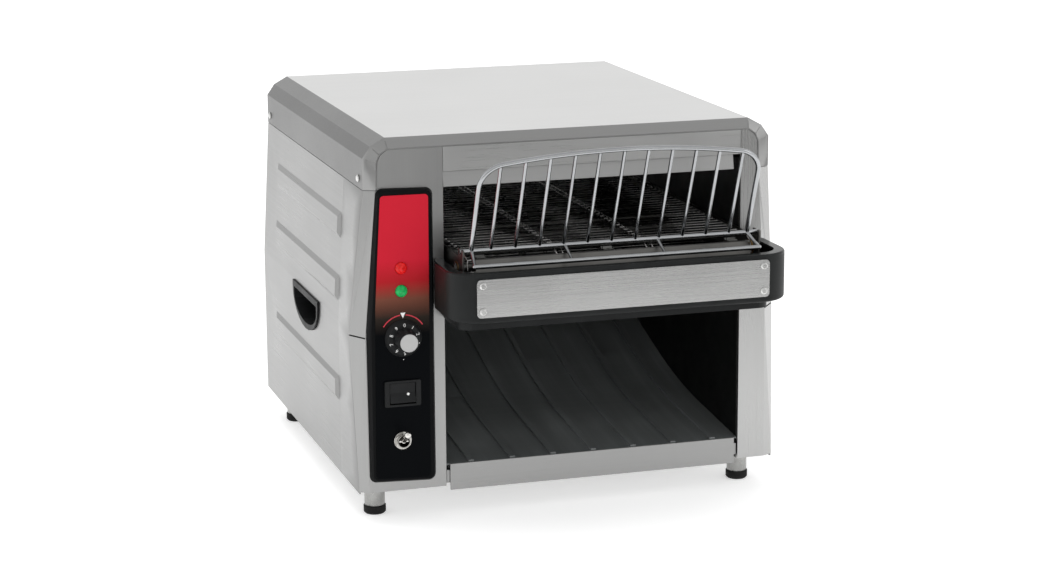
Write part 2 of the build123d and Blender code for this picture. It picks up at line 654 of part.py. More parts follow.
def make_sprocket(teeth, y, z, bore, hub):
    """Chain wheel whose teeth stay just inside the chain's rollers."""
    tip = pitch_radius(teeth) - 2.0
    wheel = toothed_wheel(CHAIN_X - 1.2, CHAIN_X + 1.2, y, z, tip, tip - 2.0, bore, teeth)
    return wheel + ring_x(CHAIN_X + 1.2, CHAIN_X + 4.2, y, z, hub, bore)


def chain_band(grow, x0, x1):
    """Solid enclosed by the chain, at a distance from its pitch line."""
    small, large = pitch_radius(MOTOR_TEETH) + grow, pitch_radius(DRIVE_TEETH) + grow
    dy, dz = DRIVE_Y - MOTOR_Y, BELT_AXIS_Z - MOTOR_Z
    distance = math.hypot(dy, dz)
    heading = math.atan2(dz, dy)
    spread = math.acos((small - large) / distance)
    corners = []
    for y, z, radius, sign in ((MOTOR_Y, MOTOR_Z, small, 1), (DRIVE_Y, BELT_AXIS_Z, large, 1),
                               (DRIVE_Y, BELT_AXIS_Z, large, -1), (MOTOR_Y, MOTOR_Z, small, -1)):
        angle = heading + sign * spread
        corners.append((y + radius * math.cos(angle), z + radius * math.sin(angle)))
    core = prism_x(corners, x0, x1)
    core += rod((x0, MOTOR_Y, MOTOR_Z), (x1, MOTOR_Y, MOTOR_Z), small)
    return core + rod((x0, DRIVE_Y, BELT_AXIS_Z), (x1, DRIVE_Y, BELT_AXIS_Z), large)


def chain_pin_places():
    """Centres of the chain's rollers, evenly spaced along its pitch line."""
    small, large = pitch_radius(MOTOR_TEETH), pitch_radius(DRIVE_TEETH)
    dy, dz = DRIVE_Y - MOTOR_Y, BELT_AXIS_Z - MOTOR_Z
    distance, heading = math.hypot(dy, dz), math.atan2(dz, dy)
    spread = math.acos((small - large) / distance)
    straight = distance * math.sin(spread)
    wrap_large, wrap_small = 2 * spread * large, 2 * (math.pi - spread) * small
    total = 2 * straight + wrap_large + wrap_small
    count = round(total / CHAIN_PITCH)
    places = []
    for i in range(count):
        s = total * i / count
        if s < straight:
            angle, run = heading + spread, s
            y = MOTOR_Y + small * math.cos(angle) + run / straight * (dy + (large - small) * math.cos(angle))
            z = MOTOR_Z + small * math.sin(angle) + run / straight * (dz + (large - small) * math.sin(angle))
        elif s < straight + wrap_large:
            angle = heading + spread - (s - straight) / large
            y, z = DRIVE_Y + large * math.cos(angle), BELT_AXIS_Z + large * math.sin(angle)
        elif s < 2 * straight + wrap_large:
            angle, run = heading - spread, 2 * straight + wrap_large - s
            y = MOTOR_Y + small * math.cos(angle) + run / straight * (dy + (large - small) * math.cos(angle))
            z = MOTOR_Z + small * math.sin(angle) + run / straight * (dz + (large - small) * math.sin(angle))
        else:
            angle = heading - spread - (s - 2 * straight - wrap_large) / small
            y, z = MOTOR_Y + small * math.cos(angle), MOTOR_Z + small * math.sin(angle)
        places.append((y, z))
    return places


def make_drive_chain():
    """Roller chain: two rows of side plates joined by rollers."""
    chain = chain_band(2.4, CHAIN_X - 2.3, CHAIN_X - 1.5) - chain_band(-2.4, CHAIN_X - 3, CHAIN_X - 1)
    chain += chain_band(2.4, CHAIN_X + 1.5, CHAIN_X + 2.3) - chain_band(-2.4, CHAIN_X + 1, CHAIN_X + 3)
    rollers = [rod((CHAIN_X - 1.6, y, z), (CHAIN_X + 1.6, y, z), 1.6) for y, z in chain_pin_places()]
    return chain + rollers


def make_motor_shaft():
    return rod((-137.0, MOTOR_Y, MOTOR_Z), (-114.5, MOTOR_Y, MOTOR_Z), 3.0)


def make_motor_sprocket():
    return make_sprocket(MOTOR_TEETH, MOTOR_Y, MOTOR_Z, 3.0, 5.0)


def make_driven_sprocket():
    return make_sprocket(DRIVE_TEETH, DRIVE_Y, BELT_AXIS_Z, SHAFT_R, 7.0)


BRACKET_X = (-126.0, -124.5)


def make_gearmotor():
    """Gearbox with a round motor behind it, bored for its output shaft."""
    box = block(-149, BRACKET_X[0], MOTOR_Y - 30, MOTOR_Y + 20, MOTOR_Z - 25, MOTOR_Z + 25)
    box = fillet(box.edges().filter_by(Axis.X), 5)
    motor = rod((-177, MOTOR_Y - 8, MOTOR_Z), (-149, MOTOR_Y - 8, MOTOR_Z), 23)
    whole = box + motor + rod((-179.5, MOTOR_Y - 8, MOTOR_Z), (-177, MOTOR_Y - 8, MOTOR_Z), 7)
    whole += rod((BRACKET_X[0], MOTOR_Y, MOTOR_Z), (BRACKET_X[0] + 3, MOTOR_Y, MOTOR_Z), 6.5)
    return whole - rod((-138, MOTOR_Y, MOTOR_Z), (-110, MOTOR_Y, MOTOR_Z), 3.0 + RUNNING_GAP)


def make_motor_bracket():
    """Plate that carries the gearmotor, on four posts from the chamber wall."""
    x0, x1 = BRACKET_X
    plate = block(x0, x1, MOTOR_Y - 42, MOTOR_Y + 25, MOTOR_Z - 33, MOTOR_Z + 33)
    plate -= rod((x0 - 1, MOTOR_Y, MOTOR_Z), (x1 + 1, MOTOR_Y, MOTOR_Z), 7.0)
    for y, z in ((MOTOR_Y - 37, MOTOR_Z - 28), (MOTOR_Y + 20, MOTOR_Z - 28),
                 (MOTOR_Y + 20, MOTOR_Z + 28), (MOTOR_Y - 8, MOTOR_Z + 28)):
        plate += rod((x1, y, z), (WALL_LEFT[0], y, z), 3.5)
    return plate


# ---------------------------------------------------------------- outlet and crumb tray
CHUTE_LINE_DEG, CHUTE_MID_DEG = 5.5, 17.0
CHUTE_START = (2.0, 46.6)
RIB_PITCH = 36.0
RIB_WIDTH = 5.0
RIB_RISE = 1.6


def chute_profile(offset):
    """Points along the chute's upper surface, lifted by an offset: a run, a long arc and a short one."""
    y, z = CHUTE_START
    a, b = math.radians(CHUTE_LINE_DEG), math.radians(CHUTE_MID_DEG)
    path = [(y, z, a)]
    y, z = y + 88, z + 88 * math.tan(a)
    path.append((y, z, a))
    long_radius, short_radius = 560.0, 75.0
    for i in range(1, 9):
        t = a + (b - a) * i / 8
        path.append((y + long_radius * (math.sin(t) - math.sin(a)), z + long_radius * (math.cos(a) - math.cos(t)), t))
    y, z, _ = path[-1]
    y, z = y + 62 * math.cos(b), z + 62 * math.sin(b)
    path.append((y, z, b))
    end = math.radians(90)
    for i in range(1, 13):
        t = b + (end - b) * i / 12
        path.append((y + short_radius * (math.sin(t) - math.sin(b)), z + short_radius * (math.cos(b) - math.cos(t)), t))
    y, z, _ = path[-1]
    path.append((y, 228.0, end))
    return [(y - offset * math.sin(t), z + offset * math.cos(t)) for y, z, t in path]


def make_toast_chute():
    upper, lower = chute_profile(0.0), chute_profile(-SHEET)
    chute = prism_x(upper + lower[::-1], OPEN_LEFT + 0.4, OPEN_RIGHT - 0.4)
    raised = chute_profile(RIB_RISE)
    sunk = chute_profile(-0.4)
    for k in range(-3, 4):
        x = 19.9 + k * RIB_PITCH
        chute += prism_x(raised[:-1] + sunk[:-1][::-1], x - RIB_WIDTH / 2, x + RIB_WIDTH / 2)
    return chute


TRAY_LIP = (-106.9, 147.3)
LIP_BOTTOM, LIP_TOP = 24.0, 46.6
DRAWER_BACK = 236.0


def make_crumb_tray():
    """Sliding tray: its front is the plain lip under the outlet."""
    x0, x1 = TRAY_LIP
    tray = block(x0, x1, 0, SHEET, LIP_BOTTOM, LIP_TOP)
    tray += block(x0, x1, 0, 7, LIP_TOP - SHEET, LIP_TOP) - block(x0 - 1, x1 + 1, 1.4, 8, LIP_TOP - 3, LIP_TOP + 1)
    shell = block(x0 + 1, x1 - 1, 0.5, DRAWER_BACK, 29.0, 40.0)
    shell -= block(x0 + 2, x1 - 2, SHEET, DRAWER_BACK - 1.0, 30.0, 41.0)
    tray += shell
    for x, turn in ((x0, -1), (x1, 1)):
        tray += block(min(x, x + 2.6 * turn), max(x, x + 2.6 * turn), 2.0, 3.2, 31.0, 41.0)
        tray += block(min(x - turn, x), max(x - turn, x), 0.5, 3.2, 31.0, 40.0)
    return tray


# ---------------------------------------------------------------- feed rack
def rack_point(x, s):
    """Point on the rack's leaning plane: x across, s up the lean."""
    return (RACK_X + x, RACK_FOOT_Y + s * RACK_LEAN[0], RACK_FOOT_Z + s * RACK_LEAN[1])


def arch_height(x):
    """Distance up the lean of the arch above a place across the rack."""
    return RACK_RISE - x * x / (2 * 660.0)


def make_feed_rack():
    """Wire rack: a tall arch with upright wires, on two rods joined at their ends."""
    arch_r, wire_r = 2.0, 1.5
    shoulder = 78.4
    path = FilletPolyline(
        rack_point(-RACK_HALF, 0), rack_point(-RACK_HALF, shoulder), rack_point(0, RACK_RISE + 6.65),
        rack_point(RACK_HALF, shoulder), rack_point(RACK_HALF, 0), radius=(22.0, 640.0, 22.0))
    rack = sweep(Plane(origin=path @ 0, z_dir=path % 0) * Circle(arch_r), path)
    rear_a, rear_b = rack_point(-RACK_HALF, 0), rack_point(RACK_HALF, 0)
    front_y, front_z = -60.5, 227.0
    front_a, front_b = (rear_a[0] - 3, front_y, front_z), (rear_b[0] + 3, front_y, front_z)
    rack += rod((RAIL_LEFT[0] - 0.2, *rear_a[1:]), (RAIL_RIGHT[1] + 0.2, *rear_b[1:]), arch_r)
    rack += rod(front_a, front_b, arch_r)
    for a, b in ((rear_a, front_a), (rear_b, front_b)):
        rack += rod(a, b, wire_r) + Pos(*b) * Sphere(arch_r) + Pos(*a) * Sphere(arch_r)
    for x in (-40.0, 40.0):
        rack += rod(rack_point(x, 0), (RACK_X + x, front_y, front_z), wire_r * 0.8)
    for k in range(-5, 6):
        x = 20.6 * k
        rack += rod(rack_point(x, 0), rack_point(x, arch_height(x)), wire_r)
    return rack


def make_rack_clips():
    """Two notched saddles on the rails that the rack's rear rod rests in."""
    clips = []
    for (x0, x1), turn in ((RAIL_LEFT, -1), (RAIL_RIGHT, 1)):
        clip = block(x0, x1, RACK_FOOT_Y - 7, RACK_FOOT_Y + 7, 232, 238)
        notch = rod((x0 - 1, RACK_FOOT_Y, RACK_FOOT_Z), (x1 + 1, RACK_FOOT_Y, RACK_FOOT_Z), 2.3)
        notch += block(x0 - 1, x1 + 1, RACK_FOOT_Y - 2.3, RACK_FOOT_Y + 2.3, RACK_FOOT_Z, 240)
        clips.append(clip - notch)
    return clips


# ---------------------------------------------------------------- control panel
BEZEL_ROOT = [(-167.2, 284.3), (-119.5, 283.0), (-119.5, 34.6), (-176.3, 36.8), (-177.2, 166.0)]
BEZEL_FRONT = [(-166.2, 282.4), (-122.0, 281.4), (-122.0, 37.4), (-174.2, 39.6), (-174.0, 167.0)]
OVERLAY = [(-165.0, 279.0), (-124.7, 278.6), (-125.6, 39.4), (-172.0, 41.2), (-170.6, 185.0)]


def panel_holes(solid, y0, y1, lamp, knob, rocker, toggle):
    """Openings for the lamps, knob shaft, rocker and toggle."""
    for z in (RED_LAMP_Z, GREEN_LAMP_Z):
        solid -= rod((LAMP_X, y0, z), (LAMP_X, y1, z), lamp)
    solid -= rod((KNOB_X, y0, KNOB_Z), (KNOB_X, y1, KNOB_Z), knob)
    half_w, half_h = rocker
    solid -= block(ROCKER_X - half_w, ROCKER_X + half_w, y0, y1, ROCKER_Z - half_h, ROCKER_Z + half_h)
    return solid - rod((TOGGLE_X, y0, TOGGLE_Z), (TOGGLE_X, y1, TOGGLE_Z), toggle)


def make_control_bezel():
    bezel = ruled(rounded(BEZEL_ROOT, 6.0), 0, rounded(BEZEL_FRONT, 5.0), -BEZEL_PROUD)
    return panel_holes(bezel, -10, 5, LAMP_R + 0.3, 4.9, (13.2, 9.8), BUSHING_HOLE)


def make_control_overlay():
    overlay = prism_y(rounded(OVERLAY, 3.0), -BEZEL_PROUD, PANEL_Y)
    return panel_holes(overlay, -10, 5, LAMP_R + 0.3, 4.9, (13.2, 9.8), BUSHING_HOLE)


def make_lamp(z):
    """Round lens with a domed face, and its body behind the panel."""
    lens = rod((LAMP_X, PANEL_Y - 1.0, z), (LAMP_X, 14, z), LAMP_R)
    lens += cone((LAMP_X, PANEL_Y - 1.0, z), (LAMP_X, PANEL_Y - 3.2, z), LAMP_R, LAMP_R * 0.62)
    return lens + rod((LAMP_X, 3, z), (LAMP_X, 6, z), LAMP_R + 1.6)


KNOB_GAP = 0.6
SKIRT_R = 15.8


def make_speed_knob():
    """Control knob: a wide skirt, a round grip and a flat pointer ridge."""
    y0 = PANEL_Y - KNOB_GAP
    knob = cone((KNOB_X, y0, KNOB_Z), (KNOB_X, y0 - 4.5, KNOB_Z), SKIRT_R, SKIRT_R - 2.8)
    knob += cone((KNOB_X, y0 - 4.5, KNOB_Z), (KNOB_X, y0 - 18.0, KNOB_Z), 9.6, 8.4)
    for i in range(12):
        angle = 2 * math.pi * (i + 0.5) / 12
        x, z = KNOB_X + 9.6 * math.cos(angle), KNOB_Z + 9.6 * math.sin(angle)
        knob -= rod((x, y0 - 5.2, z), (x, y0 - 20, z), 0.9)
    return knob - rod((KNOB_X, y0 + 1, KNOB_Z), (KNOB_X, y0 - 14, KNOB_Z), 3.0)


def make_knob_cap():
    """Bright disc on the knob's end."""
    y0 = PANEL_Y - KNOB_GAP - 18.0
    return rod((KNOB_X, y0, KNOB_Z), (KNOB_X, y0 - 0.9, KNOB_Z), 7.4)


def make_speed_control():
    """Rotary control behind the panel, with a threaded neck and its nut."""
    body = rod((KNOB_X, 1.4, KNOB_Z), (KNOB_X, 16, KNOB_Z), 11)
    neck = rod((KNOB_X, PANEL_Y + 0.4, KNOB_Z), (KNOB_X, 1.4, KNOB_Z), 4.6)
    tags = block(KNOB_X - 7, KNOB_X + 7, 8, 9, KNOB_Z - 17, KNOB_Z - 9)
    bore = rod((KNOB_X, PANEL_Y - 2, KNOB_Z), (KNOB_X, 12.2, KNOB_Z), 3.0 + RUNNING_GAP)
    return body + neck + tags - bore


def make_control_spindle():
    """Spindle that the knob turns."""
    return rod((KNOB_X, PANEL_Y - KNOB_GAP - 13.5, KNOB_Z), (KNOB_X, 12.0, KNOB_Z), 3.0)


PADDLE_W, PADDLE_H = 21.7, 16.4
ROCKER_AXIS_Y = -4.0
ROCKER_REST_DEG = 8.0


def make_rocker_frame():
    """Snap-in switch housing with a raised rim round the paddle."""
    frame = block(ROCKER_X - ROCKER_W / 2, ROCKER_X + ROCKER_W / 2, PANEL_Y - 2.0, PANEL_Y,
                  ROCKER_Z - ROCKER_H / 2, ROCKER_Z + ROCKER_H / 2)
    frame = fillet(frame.edges().filter_by(Axis.Y), 1.5)
    frame += block(ROCKER_X - 13.0, ROCKER_X + 13.0, PANEL_Y, 22, ROCKER_Z - 9.6, ROCKER_Z + 9.6)
    well = block(ROCKER_X - PADDLE_W / 2 - 0.4, ROCKER_X + PADDLE_W / 2 + 0.4, PANEL_Y - 3, 6,
                 ROCKER_Z - PADDLE_H / 2 - 1.0, ROCKER_Z + PADDLE_H / 2 + 1.0)
    frame -= well
    for x in (-8, 0, 8):
        frame += block(ROCKER_X + x - 0.4, ROCKER_X + x + 0.4, 22, 29, ROCKER_Z - 3, ROCKER_Z + 3)
    for side in (-1, 1):
        edge = ROCKER_X + side * (PADDLE_W / 2 + 0.6)
        frame += rod((edge, ROCKER_AXIS_Y, ROCKER_Z), (edge - side * 2.0, ROCKER_AXIS_Y, ROCKER_Z), 1.2)
    return frame


def make_rocker_paddle():
    """Rocking button, tipped to its standby side."""
    half_w, half_h = PADDLE_W / 2, PADDLE_H / 2
    face = [(-2.6, -half_h), (-0.4, 0), (-2.6, half_h), (3.0, half_h), (6.5, 2.5), (6.5, -2.5), (3.0, -half_h)]
    outline = [(PANEL_Y + dy, ROCKER_Z + dz) for dy, dz in face]
    paddle = prism_x(outline, ROCKER_X - half_w, ROCKER_X + half_w)
    paddle -= rod((ROCKER_X - 20, ROCKER_AXIS_Y, ROCKER_Z), (ROCKER_X + 20, ROCKER_AXIS_Y, ROCKER_Z), 1.25)
    pivot = Axis((ROCKER_X, ROCKER_AXIS_Y, ROCKER_Z), (1, 0, 0))
    return paddle.rotate(pivot, -ROCKER_REST_DEG)


LEVER_REST_DEG = 32.0
LEVER_AXIS_Y = PANEL_Y - 3.0


def make_toggle_switch():
    """Toggle switch body, with its bushing and nut in front of the panel."""
    body = block(TOGGLE_X - 7, TOGGLE_X + 7, 1.4, 24, TOGGLE_Z - 14, TOGGLE_Z + 14)
    bushing = rod((TOGGLE_X, 1.4, TOGGLE_Z), (TOGGLE_X, PANEL_Y - 4.5, TOGGLE_Z), BUSHING_R)
    nut = Plane(origin=(TOGGLE_X, PANEL_Y, TOGGLE_Z), z_dir=(0, -1, 0)) * RegularPolygon(7.0, 6)
    washer = rod((TOGGLE_X, PANEL_Y, TOGGLE_Z), (TOGGLE_X, PANEL_Y - 0.7, TOGGLE_Z), 7.4)
    switch = body + bushing + washer + extrude(nut, 2.8)
    mouth = cone((TOGGLE_X, PANEL_Y + 3.5, TOGGLE_Z), (TOGGLE_X, PANEL_Y - 6, TOGGLE_Z), 3.0, 5.0)
    return switch - mouth


def make_toggle_lever():
    """Bat-shaped lever, tilted up, with the short pin it swings on."""
    y, z = LEVER_AXIS_Y, TOGGLE_Z
    lever = Pos(TOGGLE_X, y, z) * Sphere(2.2) + rod((TOGGLE_X - 3.9, y, z), (TOGGLE_X + 3.9, y, z), 1.0)
    lever += cone((TOGGLE_X, y, z), (TOGGLE_X, y - 17.5, z), 1.6, 2.9)
    lever += Pos(TOGGLE_X, y - 17.5, z) * Sphere(2.9)
    return lever.rotate(Axis((TOGGLE_X, y, z), (1, 0, 0)), -LEVER_REST_DEG)


# ---------------------------------------------------------------- electrics
def make_control_board():
    """Circuit board on stand-offs, with its larger components."""
    board = block(-134, -132.4, 60, 150, 44, 124)
    for y in (66, 144):
        for z in (50, 118):
            board += rod((-132.4, y, z), (WALL_LEFT[0], y, z), 2.5)
    board += block(-148, -134, 70, 90, 56, 80) + block(-145, -134, 100, 128, 56, 74)
    board += rod((-134, 80, 104), (-152, 80, 104), 7) + rod((-134, 100, 104), (-150, 100, 104), 6)
    return board + block(-142, -134, 116, 140, 92, 112)


def make_terminal_block():
    block_body = block(-172, -124, 300, 318, BODY_FLOOR + SHEET, BODY_FLOOR + 16)
    for i in range(6):
        x = -168 + 8 * i
        block_body -= rod((x, 309, BODY_FLOOR + 10), (x, 309, BODY_FLOOR + 20), 2.4)
    return block_body


FAN_FRONT, FAN_BACK = BODY_REAR - SHEET - 26, BODY_REAR - SHEET - 1


def make_fan_frame():
    """Square fan housing with a hub plate carried by three arms."""
    frame = block(FAN_X - FAN_HALF, FAN_X + FAN_HALF, FAN_FRONT, FAN_BACK + 1, FAN_Z - FAN_HALF, FAN_Z + FAN_HALF)
    frame = fillet(frame.edges().filter_by(Axis.Y), 4)
    frame -= rod((FAN_X, FAN_FRONT - 1, FAN_Z), (FAN_X, FAN_BACK + 2, FAN_Z), 28.0)
    hub = rod((FAN_X, FAN_FRONT, FAN_Z), (FAN_X, FAN_FRONT + 4, FAN_Z), 10)
    for i in range(3):
        angle = math.radians(90 + 120 * i)
        end = (FAN_X + 29 * math.cos(angle), FAN_FRONT + 2, FAN_Z + 29 * math.sin(angle))
        hub += rod((FAN_X, FAN_FRONT + 2, FAN_Z), end, 1.8)
    hub += rod((FAN_X, FAN_FRONT + 4, FAN_Z), (FAN_X, FAN_FRONT + 16, FAN_Z), 2.0)
    return frame + hub


def make_fan_rotor():
    """Seven-bladed rotor on the hub pin."""
    front, back = FAN_FRONT + 4.6, FAN_FRONT + 18
    rotor = rod((FAN_X, front, FAN_Z), (FAN_X, back, FAN_Z), 11)
    rotor -= rod((FAN_X, front - 1, FAN_Z), (FAN_X, back - 1, FAN_Z), 2.0 + RUNNING_GAP)
    for i in range(7):
        blade = block(9, 26.5, -0.9, 0.9, -6.2, 6.2)
        blade = blade.rotate(Axis.X, 38)
        blade = blade.rotate(Axis.X, 90).rotate(Axis.Y, 360 * i / 7)
        rotor += Pos(FAN_X, (front + back) / 2, FAN_Z) * blade
    return rotor


# ---------------------------------------------------------------- write every node
NODES = {
    "base_pan": make_base_pan,
    "side_panel_left": lambda: make_side_panel(-1),
    "side_panel_right": lambda: make_side_panel(1),
    "rear_panel": make_rear_panel,
    "top_cover": make_top_cover,
    "control_column": make_control_column,
    "right_column": make_right_column,
    "hood_panel": make_hood_panel,
    "hood_baffle": make_hood_baffle,
    "handle_cup_left": lambda: make_handle_cup(-1),
    "handle_cup_right": lambda: make_handle_cup(1),
    "cover_screws": make_cover_screws,
    "cord_gland": make_cord_gland,
    "legs": make_legs,
    "rubber_feet": make_rubber_feet,
    "feed_tray": make_feed_tray,
    "tray_plate": make_nameplate,
    "tray_plate_screws": make_nameplate_screws,
    "tray_liner": make_tray_liner,
    "feed_rack": make_feed_rack,
    "rack_clips": make_rack_clips,
    "conveyor_rail_left": lambda: make_rail(*RAIL_LEFT),
    "conveyor_rail_right": lambda: make_rail(*RAIL_RIGHT),
    "conveyor_belt": make_conveyor_belt,
    "idler_shaft": make_idler_shaft,
    "idler_rollers": lambda: belt_rollers(IDLER_Y),
    "drive_shaft": make_drive_shaft,
    "drive_rollers": lambda: belt_rollers(DRIVE_Y),
    "shaft_bushes": make_shaft_bushes,
    "chamber_wall_left": lambda: make_inner_wall(*WALL_LEFT),
    "chamber_wall_right": lambda: make_inner_wall(*WALL_RIGHT),
    "upper_heaters": lambda: heater_set(UPPER_HEATER_Y, UPPER_HEATER_Z),
    "lower_heaters": lambda: heater_set(LOWER_HEATER_Y, BELT_AXIS_Z),
    "upper_reflector": make_upper_reflector,
    "lower_reflector": make_lower_reflector,
    "toast_chute": make_toast_chute,
    "crumb_tray": make_crumb_tray,
    "gearmotor": make_gearmotor,
    "motor_bracket": make_motor_bracket,
    "motor_shaft": make_motor_shaft,
    "motor_sprocket": make_motor_sprocket,
    "driven_sprocket": make_driven_sprocket,
    "drive_chain": make_drive_chain,
    "control_bezel": make_control_bezel,
    "control_overlay": make_control_overlay,
    "power_lamp": lambda: make_lamp(RED_LAMP_Z),
    "ready_lamp": lambda: make_lamp(GREEN_LAMP_Z),
    "speed_knob": make_speed_knob,
    "knob_cap": make_knob_cap,
    "control_spindle": make_control_spindle,
    "speed_control": make_speed_control,
    "rocker_frame": make_rocker_frame,
    "rocker_paddle": make_rocker_paddle,
    "toggle_switch": make_toggle_switch,
    "toggle_lever": make_toggle_lever,
    "control_board": make_control_board,
    "terminal_block": make_terminal_block,
    "fan_frame": make_fan_frame,
    "fan_rotor": make_fan_rotor,
}

os.makedirs("parts", exist_ok=True)
for node, make in NODES.items():
    made = make()
    solids = [s for piece in made for s in piece.solids()] if isinstance(made, list) else list(made.solids())
    shape = Compound(children=solids) if len(solids) > 1 else solids[0]
    export_step(shape.moved(Location((0, FRONT_Y, 0))), f"parts/{node}.step")
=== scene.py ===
import math

import bmesh
import bpy
from mathutils import Matrix, Vector


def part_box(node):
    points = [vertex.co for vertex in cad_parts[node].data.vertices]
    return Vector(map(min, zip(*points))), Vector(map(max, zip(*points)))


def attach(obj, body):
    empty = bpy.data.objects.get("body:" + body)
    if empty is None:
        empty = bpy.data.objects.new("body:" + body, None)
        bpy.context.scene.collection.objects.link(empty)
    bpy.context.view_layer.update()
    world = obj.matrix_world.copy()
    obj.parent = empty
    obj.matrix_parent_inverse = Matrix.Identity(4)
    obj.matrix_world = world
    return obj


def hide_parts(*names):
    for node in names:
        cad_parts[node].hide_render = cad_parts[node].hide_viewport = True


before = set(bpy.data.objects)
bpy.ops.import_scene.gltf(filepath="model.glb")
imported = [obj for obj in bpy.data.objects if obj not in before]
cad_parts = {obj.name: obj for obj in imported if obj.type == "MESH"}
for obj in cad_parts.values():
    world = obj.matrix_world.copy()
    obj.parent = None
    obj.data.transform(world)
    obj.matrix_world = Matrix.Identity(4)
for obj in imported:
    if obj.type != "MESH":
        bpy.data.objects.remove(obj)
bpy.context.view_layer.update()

# Looks of the countertop conveyor toaster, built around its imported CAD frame.
# Everything is in metres, in the row frame: the front faces -Y, +X is right and +Z is up.
MM = 0.001


# ---------------------------------------------------------------- shader helpers
class Shader:
    """One node material, with short calls to add, set and link its nodes."""

    def __init__(self, name):
        self.material = bpy.data.materials.new(name)
        self.material.use_nodes = True
        self.tree = self.material.node_tree
        self.surface = self.tree.nodes["Principled BSDF"]

    def node(self, kind, **settings):
        made = self.tree.nodes.new("ShaderNode" + kind)
        for key, value in settings.items():
            setattr(made, key, value)
        return made

    def link(self, output, target):
        self.tree.links.new(output, target)

    def set(self, **values):
        """Constants straight on the surface shader's sockets."""
        for key, value in values.items():
            self.surface.inputs[key.replace("_", " ")].default_value = value

    def place(self, scale=(1, 1, 1)):
        """The object's own coordinates, stretched."""
        coordinates = self.node("TexCoord")
        mapping = self.node("Mapping")
        mapping.inputs["Scale"].default_value = scale
        self.link(coordinates.outputs["Object"], mapping.inputs["Vector"])
        return mapping.outputs["Vector"]

    def noise(self, vector, scale, detail=2.0, roughness=0.5, distortion=0.0):
        made = self.node("TexNoise")
        made.inputs["Scale"].default_value = scale
        made.inputs["Detail"].default_value = detail
        made.inputs["Roughness"].default_value = roughness
        made.inputs["Distortion"].default_value = distortion
        self.link(vector, made.inputs["Vector"])
        return made.outputs["Fac"]

    def spread(self, value, low, high, start=0.3, end=0.7):
        """Maps start..end of a value onto low..high."""
        made = self.node("MapRange")
        for key, number in (("From Min", start), ("From Max", end), ("To Min", low), ("To Max", high)):
            made.inputs[key].default_value = number
        self.link(value, made.inputs["Value"])
        return made.outputs["Result"]

    def math(self, operation, a, b):
        made = self.node("Math", operation=operation)
        for slot, value in zip(made.inputs, (a, b)):
            if isinstance(value, (int, float)):
                slot.default_value = value
            else:
                self.link(value, slot)
        return made.outputs["Value"]

    def ramp(self, value, *stops):
        """Colour by a value: (position, (r, g, b)) stops."""
        made = self.node("ValToRGB")
        band = made.color_ramp
        while len(band.elements) < len(stops):
            band.elements.new(0.5)
        for element, (position, colour) in zip(band.elements, stops):
            element.position = position
            element.color = (*colour, 1.0)
        self.link(value, made.inputs["Fac"])
        return made.outputs["Color"]

    def bump(self, height, distance, strength=1.0, below=None):
        made = self.node("Bump")
        made.inputs["Distance"].default_value = distance
        made.inputs["Strength"].default_value = strength
        self.link(height, made.inputs["Height"])
        if below is not None:
            self.link(below, made.inputs["Normal"])
        return made.outputs["Normal"]

    def finish(self, colour=None, roughness=None, normal=None):
        for key, value in (("Base Color", colour), ("Roughness", roughness), ("Normal", normal)):
            if value is not None:
                self.link(value, self.surface.inputs[key])
        return self.material


def tint(colour, factor):
    """The colour made lighter or darker."""
    return tuple(min(1.0, c * factor) for c in colour)


# ---------------------------------------------------------------- materials
# Noise scales per axis, for brushing that runs along x, y or z: hair-fine grain and longer streaks.
GRAIN = {"x": (9, 1500, 1500), "y": (1500, 9, 1500), "z": (1500, 1500, 9)}
STREAKS = {"x": (3, 190, 190), "y": (190, 3, 190), "z": (190, 190, 3)}


def brushed_steel(name, grain, colour, roughness=0.30, wave=0.5, painted_side_shade=1.0, painted_front_shade=1.0):
    """Brushed stainless sheet: hair-fine grain, faint long streaks, slow cloudy wear and a slight waviness.
    Where the same sheet is folded down, its colour is darkened by which way the face looks, as painted shade:
    the side factor is its tone on the sides, the front factor its tone on the front and back."""
    s = Shader(name)
    s.set(Metallic=1.0)
    fine = s.noise(s.place(GRAIN[grain]), 1.0, detail=2.0, roughness=0.6)
    streak = s.noise(s.place(STREAKS[grain]), 1.0, detail=3.0, roughness=0.6)
    cloud = s.noise(s.place(), 9.0, detail=3.0, roughness=0.55)
    swell = s.noise(s.place(), 4.0, detail=0.0)
    lines = s.math("ADD", s.math("MULTIPLY", fine, 0.45), s.math("MULTIPLY", streak, 0.30))
    tone = s.math("ADD", lines, s.math("MULTIPLY", cloud, 0.25))
    base = s.ramp(tone, (0.38, tint(colour, 0.975)), (0.5, colour), (0.62, tint(colour, 1.02)))
    rough = s.math("ADD", s.spread(fine, -0.03, 0.03), s.spread(cloud, roughness - 0.02, roughness + 0.03))
    # painted shade: the colour is darkened by which way the face looks, on the sides and on the front and back
    if painted_side_shade != 1.0:
        facing = s.node("SeparateXYZ")
        s.link(s.node("NewGeometry").outputs["True Normal"], facing.inputs["Vector"])
        side = s.spread(s.math("ABSOLUTE", facing.outputs["X"], 0.0), 1.0, painted_side_shade, 0.15, 0.52)
        front = s.spread(s.math("ABSOLUTE", facing.outputs["Y"], 0.0), 1.0, painted_front_shade, 0.15, 0.40)
        dim = s.math("MINIMUM", side, front)
        shade = s.node("VectorMath", operation="SCALE")
        s.link(base, shade.inputs[0])
        s.link(dim, shade.inputs["Scale"])
        base = shade.outputs["Vector"]
    wavy = s.bump(swell, 0.0009 * wave)
    return s.finish(base, rough, s.bump(fine, 0.00002, 0.25, below=wavy))


